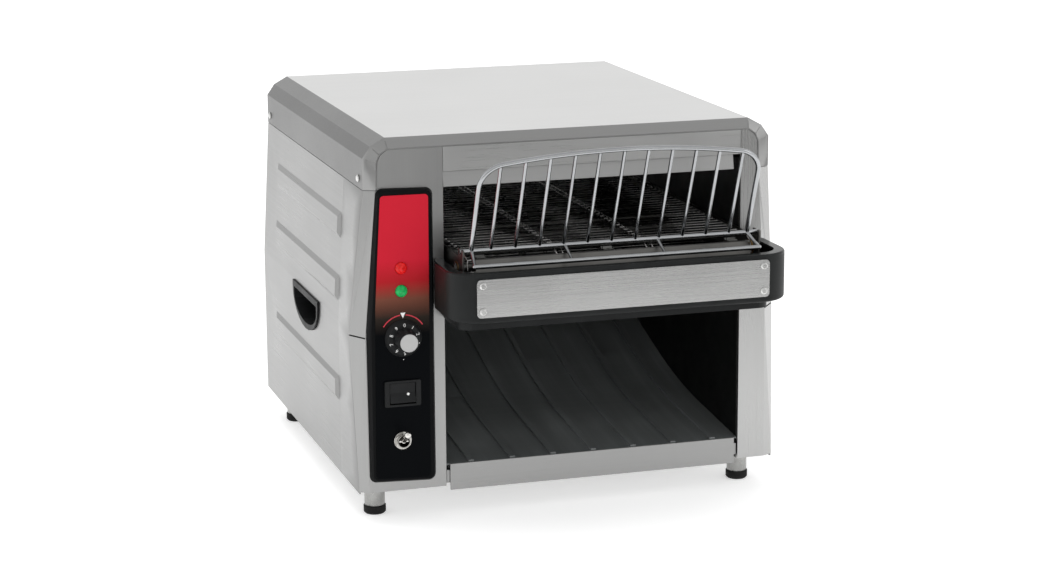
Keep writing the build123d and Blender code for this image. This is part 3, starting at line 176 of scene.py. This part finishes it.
def plain_steel(name, colour, roughness, blotch=0.12):
    """Mill-finish or oxidised steel: a fine even tooth with darker blotches."""
    s = Shader(name)
    s.set(Metallic=1.0)
    tooth = s.noise(s.place(), 900.0, detail=2.0)
    patch = s.noise(s.place(), 26.0, detail=4.0, roughness=0.6)
    base = s.ramp(patch, (0.32, tint(colour, 1 - 2 * blotch)), (0.55, colour), (0.75, tint(colour, 1 + blotch)))
    rough = s.spread(patch, roughness + 0.08, roughness - 0.05)
    return s.finish(base, rough, s.bump(tooth, 0.00004, 0.6))


def chrome(name, colour=(0.80, 0.81, 0.82), roughness=0.10):
    """Bright plated wire, faintly rippled by drawing and plating."""
    s = Shader(name)
    s.set(Metallic=1.0)
    ripple = s.noise(s.place(), 260.0, detail=2.0)
    haze = s.noise(s.place(), 40.0, detail=3.0)
    base = s.ramp(haze, (0.35, tint(colour, 0.90)), (0.6, colour))
    return s.finish(base, s.spread(haze, roughness - 0.03, roughness + 0.07), s.bump(ripple, 0.00004, 0.4))


def ringed_nickel(name, centre, radius):
    """Plated nut and bushing along Y: bright outside the radius, dark inside it, as painted shade in the bore.
    """
    s = Shader(name)
    s.set(Metallic=1.0)
    offset = s.node("VectorMath", operation="SUBTRACT")
    s.link(s.place(), offset.inputs[0])
    offset.inputs[1].default_value = centre
    flat = s.node("VectorMath", operation="MULTIPLY")
    s.link(offset.outputs["Vector"], flat.inputs[0])
    flat.inputs[1].default_value = (1, 0, 1)
    away = s.node("VectorMath", operation="LENGTH")
    s.link(flat.outputs["Vector"], away.inputs[0])
    share = s.spread(away.outputs["Value"], 0.0, 1.0, radius - 0.4 * MM, radius + 0.4 * MM)
    ripple = s.noise(s.place(), 260.0, detail=2.0)
    # painted shade: the dark colour inside the radius stands for the shade in the bore
    base = s.ramp(share, (0.0, (0.05, 0.047, 0.040)), (1.0, (0.43, 0.42, 0.40)))
    return s.finish(base, s.spread(ripple, 0.14, 0.24), s.bump(ripple, 0.00004, 0.4))


def moulded(name, colour=(0.010, 0.0105, 0.011), roughness=0.48, grain=1100.0, depth=0.00005, sheen=0.14):
    """Moulded plastic or rubber with a fine spark-eroded grain and light scuffs."""
    s = Shader(name)
    s.set(Specular_IOR_Level=sheen)
    pebble = s.noise(s.place(), grain, detail=2.0)
    scuff = s.noise(s.place(), 60.0, detail=4.0, roughness=0.6)
    base = s.ramp(scuff, (0.35, tint(colour, 0.80)), (0.72, tint(colour, 1.25)))
    rough = s.spread(scuff, roughness - 0.05, roughness + 0.06)
    return s.finish(base, rough, s.bump(pebble, depth, 0.7))


def tray_plastic(name, rim_low, rim_high):
    """Black thermoset of the feed tray: matt sides and a rim that has been rubbed glossy."""
    s = Shader(name)
    s.set(Specular_IOR_Level=0.17)
    height = s.node("SeparateXYZ")
    s.link(s.place(), height.inputs["Vector"])
    scuff = s.noise(s.place(), 45.0, detail=4.0, roughness=0.6)
    pebble = s.noise(s.place(), 1000.0, detail=2.0)
    gloss = s.spread(height.outputs["Z"], 0.46, 0.22, rim_low, rim_high)
    rough = s.math("ADD", gloss, s.spread(scuff, -0.04, 0.05))
    base = s.ramp(scuff, (0.3, (0.0060, 0.0067, 0.0068)), (0.7, (0.010, 0.011, 0.0112)))
    return s.finish(base, rough, s.bump(pebble, 0.00005, 0.6))


def coated_steel(name, colour=(0.105, 0.112, 0.112), roughness=0.34):
    """Dark non-stick coating on the toast chute, a little rubbed along the slide."""
    s = Shader(name)
    s.set(Metallic=0.0, Specular_IOR_Level=0.45, Coat_Weight=0.25, Coat_Roughness=0.22)
    orange = s.noise(s.place(), 520.0, detail=2.0)
    slide = s.noise(s.place((160, 6, 6)), 1.0, detail=3.0)
    patch = s.noise(s.place(), 14.0, detail=3.0)
    wear = s.math("ADD", s.math("MULTIPLY", slide, 0.5), s.math("MULTIPLY", patch, 0.5))
    base = s.ramp(wear, (0.36, tint(colour, 0.80)), (0.52, colour), (0.66, tint(colour, 1.30)))
    return s.finish(base, s.spread(wear, roughness - 0.06, roughness + 0.08), s.bump(orange, 0.00005, 0.5))


def printed_overlay(name, low, high):
    """Satin film: crimson at the top that fades through brown to black."""
    s = Shader(name)
    s.set(Specular_IOR_Level=0.03)
    height = s.node("SeparateXYZ")
    s.link(s.place(), height.inputs["Vector"])
    share = s.spread(height.outputs["Z"], 0.0, 1.0, low, high)
    base = s.ramp(share, (0.0, (0.0015, 0.0019, 0.0025)), (0.22, (0.020, 0.015, 0.012)),
                  (0.48, (0.13, 0.046, 0.030)), (0.72, (0.33, 0.012, 0.017)), (1.0, (0.45, 0.014, 0.028)))
    tooth = s.noise(s.place(), 1500.0, detail=1.0)
    haze = s.noise(s.place(), 30.0, detail=3.0)
    return s.finish(base, s.spread(haze, 0.30, 0.40), s.bump(tooth, 0.00002, 0.5))


def lens(name, colour, glow):
    """Faceted lamp lens of clear dyed plastic over a lit chip."""
    s = Shader(name)
    s.set(Roughness=0.12, IOR=1.5, Specular_IOR_Level=0.35)
    s.surface.inputs["Emission Strength"].default_value = glow
    s.surface.inputs["Emission Color"].default_value = (*colour, 1.0)
    speck = s.noise(s.place(), 400.0, detail=2.0)
    base = s.ramp(speck, (0.35, tint(colour, 0.60)), (0.7, colour))
    return s.finish(base, None, s.bump(speck, 0.00002, 0.4))


def painted(name, colour, roughness=0.42, blotch=0.15):
    """Enamel, solder mask or printed ink: an even coat with a faint orange peel."""
    s = Shader(name)
    peel = s.noise(s.place(), 500.0, detail=2.0)
    patch = s.noise(s.place(), 30.0, detail=3.0)
    base = s.ramp(patch, (0.3, tint(colour, 1 - blotch)), (0.7, tint(colour, 1 + blotch)))
    return s.finish(base, s.spread(patch, roughness - 0.05, roughness + 0.06), s.bump(peel, 0.00005, 0.5))


def grey(value):
    """Neutral grey with a trace of warmth."""
    return (value, value, value * 0.99)


# ---------------------------------------------------------------- finishes of the CAD nodes
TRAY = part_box("feed_tray")
TOGGLE_AT = (-149.3 * MM, 0.0, 72.8 * MM)   # axis of the toggle's bushing, along Y
TOGGLE_MOUTH = 5.0 * MM                     # radius of the bushing's open end
FADE_LOW, FADE_HIGH = 163 * MM, 225 * MM    # heights between which the overlay turns from black to crimson

# Painted light and shade: the same brushed stainless gets a lighter or darker grey on each panel, for how light
# falls on that panel.
lid_steel = brushed_steel("lid_steel", "x", grey(0.69), 0.34, painted_side_shade=0.20, painted_front_shade=0.42)
side_steel = brushed_steel("side_steel", "y", grey(0.26))
rear_steel = brushed_steel("rear_steel", "x", grey(0.44))
hood_steel = brushed_steel("hood_steel", "x", grey(0.50))
left_column_steel = brushed_steel("left_column_steel", "z", grey(0.335), 0.34)
right_column_steel = brushed_steel("right_column_steel", "z", grey(0.42), 0.28)
lip_steel = brushed_steel("lip_steel", "x", grey(0.31))
plate_steel = brushed_steel("plate_steel", "x", grey(0.50), 0.26)
baffle_steel = brushed_steel("baffle_steel", "x", grey(0.34), 0.34)
chamber_steel = plain_steel("chamber_steel", (0.048, 0.049, 0.048), 0.42)
inner_steel = plain_steel("inner_steel", (0.14, 0.137, 0.13), 0.36)
turned_steel = plain_steel("turned_steel", (0.38, 0.38, 0.37), 0.24)
roller_steel = plain_steel("roller_steel", (0.12, 0.12, 0.115), 0.34)
screw_steel = plain_steel("screw_steel", (0.62, 0.62, 0.61), 0.20, blotch=0.05)
bright_wire = chrome("chrome_wire", (0.42, 0.43, 0.44), 0.14)
belt_steel = plain_steel("belt_steel", (0.46, 0.45, 0.44), 0.26)
black_plastic = moulded("black_plastic")
bezel_plastic = moulded("bezel_plastic", (0.0025, 0.0028, 0.0032), sheen=0.07)
tray_black = tray_plastic("tray_black", TRAY[1].z - 3 * MM, TRAY[1].z - 0.5 * MM)
rubber = moulded("rubber", (0.010, 0.010, 0.010), 0.66, grain=700.0, depth=0.0001)
chute_coat = coated_steel("chute_coat")
overlay_film = printed_overlay("overlay_film", FADE_LOW, FADE_HIGH)
red_lens = lens("red_lens", (0.56, 0.006, 0.006), 0.22)
green_lens = lens("green_lens", (0.004, 0.33, 0.075), 0.25)
knob_silver = brushed_steel("knob_silver", "x", grey(0.45), 0.30, wave=0.0)
nickel = chrome("nickel", (0.78, 0.76, 0.73), 0.16)
bushing_nickel_painted_shade = ringed_nickel("bushing_nickel_painted_shade", TOGGLE_AT, TOGGLE_MOUTH)
bronze = plain_steel("bronze", (0.55, 0.36, 0.16), 0.32)
heater_oxide = plain_steel("heater_oxide", (0.10, 0.10, 0.095), 0.48)
motor_paint = painted("motor_paint", (0.05, 0.06, 0.07))
circuit_green = painted("circuit_green", (0.03, 0.16, 0.06))
white_ink = painted("white_ink", (0.72, 0.72, 0.71), 0.5, 0.04)
red_ink = painted("red_ink", (0.46, 0.012, 0.030), 0.45, 0.05)

FINISH = {
    "base_pan": rear_steel, "side_panel_left": side_steel, "side_panel_right": side_steel,
    "rear_panel": rear_steel, "top_cover": lid_steel, "control_column": left_column_steel,
    "right_column": right_column_steel, "hood_panel": hood_steel, "hood_baffle": baffle_steel,
    "crumb_tray": lip_steel, "tray_plate": plate_steel, "legs": turned_steel,
    "chamber_wall_left": chamber_steel, "chamber_wall_right": chamber_steel,
    "upper_reflector": chamber_steel, "lower_reflector": inner_steel,
    "conveyor_rail_left": inner_steel, "conveyor_rail_right": inner_steel, "rack_clips": inner_steel,
    "motor_bracket": inner_steel, "tray_liner": inner_steel, "cover_screws": screw_steel,
    "tray_plate_screws": screw_steel, "feed_tray": tray_black, "control_bezel": bezel_plastic,
    "handle_cup_left": black_plastic, "handle_cup_right": black_plastic, "speed_knob": black_plastic,
    "rocker_frame": black_plastic, "rocker_paddle": black_plastic, "cord_gland": black_plastic,
    "terminal_block": black_plastic, "fan_frame": black_plastic, "fan_rotor": black_plastic,
    "speed_control": black_plastic, "control_overlay": overlay_film, "feed_rack": bright_wire,
    "conveyor_belt": belt_steel, "toast_chute": chute_coat, "idler_shaft": roller_steel,
    "drive_shaft": turned_steel, "motor_shaft": turned_steel, "control_spindle": turned_steel,
    "idler_rollers": roller_steel, "drive_rollers": roller_steel, "driven_sprocket": turned_steel,
    "motor_sprocket": turned_steel, "drive_chain": turned_steel, "shaft_bushes": bronze,
    "upper_heaters": heater_oxide, "lower_heaters": heater_oxide, "gearmotor": motor_paint,
    "control_board": circuit_green, "power_lamp": red_lens, "ready_lamp": green_lens,
    "knob_cap": knob_silver, "toggle_switch": bushing_nickel_painted_shade, "toggle_lever": nickel, "rubber_feet": rubber,
}
# Width of the softened edges in mm; 0 leaves a node's edges as they are.
EDGE = {"feed_tray": 1.2, "control_bezel": 0.5, "tray_plate": 0.0, "top_cover": 0.3, "legs": 0.4}
DEFAULT_EDGE = 0.25


def soften_edges(piece, width):
    """Rounds the sharp edges a little, as on folded sheet and turned or moulded pieces."""
    weld = piece.modifiers.new("weld", "WELD")
    weld.merge_threshold = 0.00001
    bevel = piece.modifiers.new("edge", "BEVEL")
    bevel.width = width * MM
    bevel.segments = 2
    bevel.limit_method = "ANGLE"
    bevel.angle_limit = math.radians(28)
    bevel.harden_normals = True


def dress_cad_nodes():
    """Gives each CAD node its material and soft edges."""
    for name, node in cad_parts.items():
        node.data.materials.clear()
        node.data.materials.append(FINISH[name])
        width = EDGE.get(name, DEFAULT_EDGE)
        if width:
            soften_edges(node, width)


# ---------------------------------------------------------------- small pieces in mesh code
def add_piece(name, mesh, material, body):
    """Shown object of a finished mesh, riding on a CAD body and using a material slot."""
    mesh.materials.clear()
    mesh.materials.append(material)
    piece = bpy.data.objects.new(name, mesh)
    bpy.context.scene.collection.objects.link(piece)
    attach(piece, body)
    return piece


class Tubes:
    """Many thin wires gathered in one mesh."""

    def __init__(self, name):
        self.name, self.points, self.faces = name, [], []

    def add(self, path, normals, radius, sides=5):
        """Wire along a path; each point's normal keeps the section from twisting."""
        first = len(self.points)
        count = len(path)
        for i, (point, normal) in enumerate(zip(path, normals)):
            along = (path[min(i + 1, count - 1)] - path[max(i - 1, 0)]).normalized()
            across = along.cross(normal).normalized()
            for k in range(sides):
                turn = 2 * math.pi * k / sides
                self.points.append(point + radius * (math.cos(turn) * across + math.sin(turn) * normal))
        for i in range(count - 1):
            for k in range(sides):
                a, b = first + i * sides + k, first + i * sides + (k + 1) % sides
                self.faces.append((a, b, b + sides, a + sides))
        self.faces.append(tuple(first + k for k in reversed(range(sides))))
        self.faces.append(tuple(first + (count - 1) * sides + k for k in range(sides)))

    def mesh(self):
        made = bpy.data.meshes.new(self.name)
        made.from_pydata([tuple(p) for p in self.points], [], self.faces)
        made.shade_smooth()
        made.update()
        return made


def closed_mesh(name, mesh):
    """Mesh data of a finished closed bmesh, with its faces turned outwards."""
    bmesh.ops.recalc_face_normals(mesh, faces=mesh.faces)
    made = bpy.data.meshes.new(name)
    mesh.to_mesh(made)
    mesh.free()
    return made


def prism(mesh, back, front):
    """Closed solid between two outlines with the same number of corners."""
    mesh.faces.new(front)
    mesh.faces.new(back[::-1])
    for i in range(len(front)):
        k = (i + 1) % len(front)
        mesh.faces.new((back[i], back[k], front[k], front[i]))


def circle(centre, radius, count, phase=0.0):
    """Points of a circle that looks along Y."""
    angles = [2 * math.pi * (k + phase) / count for k in range(count)]
    return [centre + radius * Vector((math.cos(a), 0, math.sin(a))) for a in angles]


BELT_PITCH = 10.2 * MM
BELT_WIRE = 0.52 * MM               # radius of the wire
LINK_X = (-22 * MM, 56 * MM)        # where neighbouring cross wires hook into each other


def belt_place(s, low, high, radius):
    """Point and outward normal on the belt's loop at a distance along it, at x = 0."""
    middle = (low.z + high.z) / 2
    front, rear = low.y + (high.z - low.z) / 2, high.y - (high.z - low.z) / 2
    run, bend = rear - front, math.pi * radius
    s %= 2 * (run + bend)
    if s < run:
        return Vector((0, front + s, middle + radius)), Vector((0, 0, 1))
    if s < run + bend:
        turn = (s - run) / radius
        normal = Vector((0, math.sin(turn), math.cos(turn)))
        return Vector((0, rear, middle)) + radius * normal, normal
    if s < 2 * run + bend:
        return Vector((0, rear - (s - run - bend), middle - radius)), Vector((0, 0, -1))
    turn = (s - 2 * run - bend) / radius
    normal = Vector((0, -math.sin(turn), -math.cos(turn)))
    return Vector((0, front, middle)) + radius * normal, normal


def add_wire_belt():
    """Flat wire belt: cross wires that hook into each other at their ends and at two lines between."""
    low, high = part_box("conveyor_belt")
    radius = (high.z - low.z) / 2 - BELT_WIRE
    loop = 2 * (high.y - low.y - (high.z - low.z)) + 2 * math.pi * radius
    count = round(loop / BELT_PITCH)
    pitch = loop / count
    left, right = low.x + BELT_WIRE, high.x - BELT_WIRE
    # A wire's points: x, and how far along the belt it stands off its own line there, in pitches.
    plan = [(left + 3.4 * MM, -0.88), (left + 2.6 * MM, -1.05), (left + 1.2 * MM, -1.05), (left, -0.90),
            (left, -0.15), (left + 0.9 * MM, 0.0)]
    for x in LINK_X:
        plan += [(x - 3.2 * MM, 0.0), (x - 2.9 * MM, -0.06), (x - 2.5 * MM, -0.98), (x - 2.1 * MM, -1.05),
                 (x + 2.1 * MM, -1.05), (x + 2.5 * MM, -0.98), (x + 2.9 * MM, -0.06), (x + 3.2 * MM, 0.0)]
    plan += [(right - 0.9 * MM, 0.0), (right, -0.15), (right, -0.90), (right - 1.2 * MM, -1.05),
             (right - 2.6 * MM, -1.05), (right - 3.4 * MM, -0.88)]
    wires = Tubes("belt_wires")
    for i in range(count):
        path, normals = [], []
        for x, lead in plan:
            place, normal = belt_place((i + lead) * pitch, low, high, radius)
            path.append(place + Vector((x, 0, 0)))
            normals.append(normal)
        wires.add(path, normals, BELT_WIRE, sides=6)
    belt = add_piece("belt_wires", wires.mesh(), belt_steel, "housing")
    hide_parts("conveyor_belt")


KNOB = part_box("speed_knob")
DIAL_AT = Vector(((KNOB[0].x + KNOB[1].x) / 2, 0, (KNOB[0].z + KNOB[1].z) / 2))
FILM_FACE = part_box("control_overlay")[0].y
SKIRT_HEIGHT = 4.5 * MM
SKIRT_FACE = KNOB[1].y - SKIRT_HEIGHT
INK = 0.05 * MM                     # thickness of printed ink
INK_SEAT = 0.02 * MM                # how far the ink's back lies inside its face
ARC_INNER, ARC_OUTER = 19.0 * MM, 19.9 * MM
ARC_SPANS = ((-58, -7), (7, 58))    # degrees from the top, with a gap for the pointer
POINTER_TIP, POINTER_TOP = 16.7 * MM, 21.4 * MM
POINTER_HALF = 5.6                  # degrees to each side
DOT_AT, DOT_RADIUS = 18.2 * MM, 0.35 * MM
DIGIT_AT, DIGIT_HEIGHT, DIGIT_DEPTH = 11.6 * MM, 4.1 * MM, 0.04 * MM


def dial_point(radius, degrees, y=0.0):
    """Point round the dial, clockwise from its top."""
    angle = math.radians(degrees)
    return Vector((DIAL_AT.x + radius * math.sin(angle), y, DIAL_AT.z + radius * math.cos(angle)))


def printed_mesh(name, polygons):
    """Printed shapes as very thin solids on the film, which looks along -Y."""
    mesh = bmesh.new()
    for polygon in polygons:
        back = [mesh.verts.new((p.x, FILM_FACE + INK_SEAT, p.z)) for p in polygon]
        front = [mesh.verts.new((p.x, FILM_FACE - INK, p.z)) for p in polygon]
        prism(mesh, back, front)
    return closed_mesh(name, mesh)


def ring_sector(inner, outer, start, end, steps=24):
    """Closed outline of a band round the dial."""
    angles = [start + (end - start) * i / steps for i in range(steps + 1)]
    return [dial_point(outer, a) for a in angles] + [dial_point(inner, a) for a in reversed(angles)]


def add_dial_scale():
    """Red arc and white pointer printed on the film above the knob, and a dot below it."""
    band = [ring_sector(ARC_INNER, ARC_OUTER, start, end) for start, end in ARC_SPANS]
    add_piece("dial_arc", printed_mesh("dial_arc", band), red_ink, "housing")
    wedge = [dial_point(POINTER_TIP, 0)] + [dial_point(POINTER_TOP, a) for a in (POINTER_HALF, -POINTER_HALF)]
    dot = circle(dial_point(DOT_AT, 180), DOT_RADIUS, 10)
    pointer = printed_mesh("dial_pointer", [wedge, dot])
    add_piece("dial_pointer", pointer, white_ink, "housing")


def add_knob_scale():
    """Printed digits round the knob's skirt."""
    gathered = bmesh.new()
    for digit in range(10):
        text = bpy.data.curves.new("digit", "FONT")
        text.body = str(digit)
        text.size = DIGIT_HEIGHT
        text.extrude = DIGIT_DEPTH
        text.align_x, text.align_y = "CENTER", "CENTER"
        holder = bpy.data.objects.new("digit", text)
        bpy.context.scene.collection.objects.link(holder)
        bpy.context.view_layer.update()
        glyph = bpy.data.meshes.new_from_object(holder)
        angle = 36.0 * digit
        upright = Matrix(((1, 0, 0), (0, 0, -1), (0, 1, 0))).to_4x4()
        glyph.transform(Matrix.Translation(dial_point(DIGIT_AT, angle, SKIRT_FACE))
                        @ upright @ Matrix.Rotation(math.radians(-angle), 4, "Z"))
        gathered.from_mesh(glyph)
        bpy.data.objects.remove(holder)
        bpy.data.curves.remove(text)
        bpy.data.meshes.remove(glyph)
    made = bpy.data.meshes.new("knob_digits")
    gathered.to_mesh(made)
    gathered.free()
    add_piece("knob_digits", made, white_ink, "knob")


def faceted_dome(name, centre, radius, height, rings=3, sides=8):
    """Cut-jewel cap that faces -Y."""
    mesh = bmesh.new()
    rows = []
    for r in range(rings):
        share = r / rings
        rim = radius * math.cos(share * math.pi / 2)
        lift = Vector((0, height * math.sin(share * math.pi / 2), 0))
        rows.append([mesh.verts.new(p) for p in circle(centre - lift, rim, sides, phase=0.5 * (r % 2))])
    tip = mesh.verts.new((centre.x, centre.y - height, centre.z))
    for r in range(rings - 1):
        for k in range(sides):
            a, b = rows[r][k], rows[r][(k + 1) % sides]
            shift = 0 if r % 2 == 0 else 1
            c = rows[r + 1][(k + shift) % sides]
            d = rows[r + 1][(k + 1 + shift) % sides]
            mesh.faces.new((a, b, c))
            mesh.faces.new((b, d, c))
    for k in range(sides):
        mesh.faces.new((rows[-1][k], rows[-1][(k + 1) % sides], tip))
    mesh.faces.new(rows[0][::-1])
    return closed_mesh(name, mesh)


JEWEL_RADIUS, JEWEL_HEIGHT = 4.9 * MM, 3.0 * MM
JEWEL_SEAT = 0.6 * MM               # height of its rim over the film


def add_lamp_jewels():
    """Faceted caps over the two lamp lenses."""
    for node, material, slot in (("power_lamp", red_lens, "red_lens"), ("ready_lamp", green_lens, "green_lens")):
        low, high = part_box(node)
        centre = Vector(((low.x + high.x) / 2, FILM_FACE - JEWEL_SEAT, (low.z + high.z) / 2))
        dome = faceted_dome(node + "_jewel", centre, JEWEL_RADIUS, JEWEL_HEIGHT)
        add_piece(node + "_jewel", dome, material, "housing")


ROCKER_AXIS = Vector((0, -156.0 * MM, 113.2 * MM))
ROCKER_TILT = math.radians(-8.0)        # how the paddle stands at rest
ROCKER_FACE = Vector((0, -3.28 * MM, -1.4 * MM))    # from its axis to the dot, before the tilt
ROCKER_DOT_ASIDE = 4.7 * MM             # to the right of the paddle's middle
ROCKER_DOT_RADIUS = 1.25 * MM


def add_rocker_dot():
    """White dot moulded into the rocker, slightly raised and with a sloping rim."""
    low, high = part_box("rocker_paddle")
    seat = ROCKER_AXIS + ROCKER_FACE + Vector(((low.x + high.x) / 2 + ROCKER_DOT_ASIDE, 0, 0))
    sunk, raised = Vector((0, 0.1 * MM, 0)), Vector((0, -0.25 * MM, 0))
    mesh = bmesh.new()
    rim = [mesh.verts.new(p) for p in circle(seat + sunk, ROCKER_DOT_RADIUS, 16)]
    crown = [mesh.verts.new(p) for p in circle(seat + raised, 0.8 * ROCKER_DOT_RADIUS, 16)]
    prism(mesh, rim, crown)
    mesh.transform(Matrix.Translation(ROCKER_AXIS) @ Matrix.Rotation(ROCKER_TILT, 4, "X")
                   @ Matrix.Translation(-ROCKER_AXIS))
    add_piece("rocker_dot", closed_mesh("rocker_dot", mesh), white_ink, "standby_rocker")


# ---------------------------------------------------------------- camera, floor and light
CAMERA_AT = Vector((-0.6691, -2.1851, 0.6726))
CAMERA_YAW, CAMERA_PITCH, CAMERA_ROLL = (math.radians(a) for a in (17.13, 12.61, -0.34))
CAMERA_LENS = 90.35


def add_camera():
    """Camera at the viewing angle from the front left, a little above the lid."""
    ahead = Vector((math.sin(CAMERA_YAW) * math.cos(CAMERA_PITCH),
                    math.cos(CAMERA_YAW) * math.cos(CAMERA_PITCH), -math.sin(CAMERA_PITCH)))
    level = Vector((math.cos(CAMERA_YAW), -math.sin(CAMERA_YAW), 0))
    upright = level.cross(ahead)
    right = level * math.cos(CAMERA_ROLL) + upright * math.sin(CAMERA_ROLL)
    up = upright * math.cos(CAMERA_ROLL) - level * math.sin(CAMERA_ROLL)
    data = bpy.data.cameras.new("camera")
    data.sensor_width = 36.0
    data.lens = CAMERA_LENS
    camera = bpy.data.objects.new("camera", data)
    camera.matrix_world = Matrix.Translation(CAMERA_AT) @ Matrix((right, up, -ahead)).transposed().to_4x4()
    bpy.context.scene.collection.objects.link(camera)
    bpy.context.scene.camera = camera


def add_softbox(name, at, aim, size, power):
    """Rectangular lamp that the camera doesn't see."""
    data = bpy.data.lights.new(name, "AREA")
    data.shape = "RECTANGLE"
    data.size, data.size_y = size
    data.energy = power
    lamp = bpy.data.objects.new(name, data)
    lamp.location = at
    lamp.rotation_euler = (Vector(aim) - Vector(at)).to_track_quat("-Z", "Y").to_euler()
    lamp.visible_camera = False
    bpy.context.scene.collection.objects.link(lamp)
    return lamp


def add_sheet(name, left, right, front, back, height):
    """Level rectangle of the stage."""
    mesh = bpy.data.meshes.new(name)
    corners = [(left, front, height), (right, front, height), (right, back, height), (left, back, height)]
    mesh.from_pydata(corners, [], [(0, 1, 2, 3)])
    sheet = bpy.data.objects.new(name, mesh)
    bpy.context.scene.collection.objects.link(sheet)
    return sheet


FLOOR_REACH = 30.0
FLOOR_GLOW = 0.42


def add_floor():
    """A wide pale floor that runs past the view, with a little light of its own so that it stays near white."""
    floor = add_sheet("floor", -FLOOR_REACH, FLOOR_REACH, -FLOOR_REACH, FLOOR_REACH, 0)
    s = Shader("floor_paper")
    s.set(Roughness=0.9, Specular_IOR_Level=0.0)
    s.surface.inputs["Emission Strength"].default_value = FLOOR_GLOW
    s.surface.inputs["Emission Color"].default_value = (1.0, 1.0, 1.0, 1.0)
    cloud = s.noise(s.place(), 2.0, detail=2.0)
    paper = s.ramp(cloud, (0.3, (0.86, 0.86, 0.86)), (0.7, (0.88, 0.88, 0.88)))
    floor.data.materials.append(s.finish(paper))


def add_world():
    """Studio surroundings: brightest a little above the horizon, dimmer straight up and below."""
    world = bpy.data.worlds.new("studio")
    bpy.context.scene.world = world
    world.use_nodes = True
    nodes, links = world.node_tree.nodes, world.node_tree.links
    background = nodes["Background"]
    coordinates = nodes.new("ShaderNodeTexCoord")
    split = nodes.new("ShaderNodeSeparateXYZ")
    links.new(coordinates.outputs["Generated"], split.inputs["Vector"])
    ramp = nodes.new("ShaderNodeValToRGB")
    stops = ((0.0, 0.9), (0.49, 1.35), (0.60, 1.6), (1.0, 1.0))
    while len(ramp.color_ramp.elements) < len(stops):
        ramp.color_ramp.elements.new(0.5)
    for element, (position, value) in zip(ramp.color_ramp.elements, stops):
        element.position = position
        element.color = (value, value, value, 1.0)
    shift = nodes.new("ShaderNodeMapRange")     # height -1..1 of the direction onto the ramp's 0..1
    shift.inputs["From Min"].default_value = -1.0
    links.new(split.outputs["Z"], shift.inputs["Value"])
    links.new(shift.outputs["Result"], ramp.inputs["Fac"])
    links.new(ramp.outputs["Color"], background.inputs["Color"])
    background.inputs["Strength"].default_value = 0.66


def add_lights():
    top = add_softbox("softbox_top", (-0.3, 0.3, 2.6), (0, 0, 0.1), (2.4, 2.4), 24)
    top.visible_glossy = False      # its mirror image would wash out the lid seen from above
    add_softbox("softbox_left", (-2.6, -0.4, 1.1), (0, 0, 0.2), (2.2, 1.8), 3)
    add_softbox("softbox_right", (2.4, -1.6, 1.3), (0, 0, 0.2), (1.4, 1.4), 5)
    fill = add_softbox("fill_front", (-0.2, -2.0, 0.5), (0, 0, 0.15), (1.6, 0.8), 9)
    fill.visible_glossy = False


def add_flag():
    """Dark card lying in front: only reflections see it, so it gives the front its mid-grey."""
    flag = add_sheet("flag", -2.5, 2.5, -4.0, -0.95, 4 * MM)
    s = Shader("flag_card")
    s.set(Roughness=0.9, Specular_IOR_Level=0.0)
    card = s.ramp(s.noise(s.place(), 2.0), (0.3, grey(0.20)), (0.7, grey(0.24)))
    flag.data.materials.append(s.finish(card))
    for way in ("camera", "diffuse", "transmission", "shadow"):
        setattr(flag, "visible_" + way, False)


# ---------------------------------------------------------------- assembly
add_camera()
add_floor()
add_flag()
add_world()
add_lights()
dress_cad_nodes()
add_wire_belt()
add_dial_scale()
add_knob_scale()
add_lamp_jewels()
add_rocker_dot()

bpy.context.scene.view_settings.view_transform = "Standard"
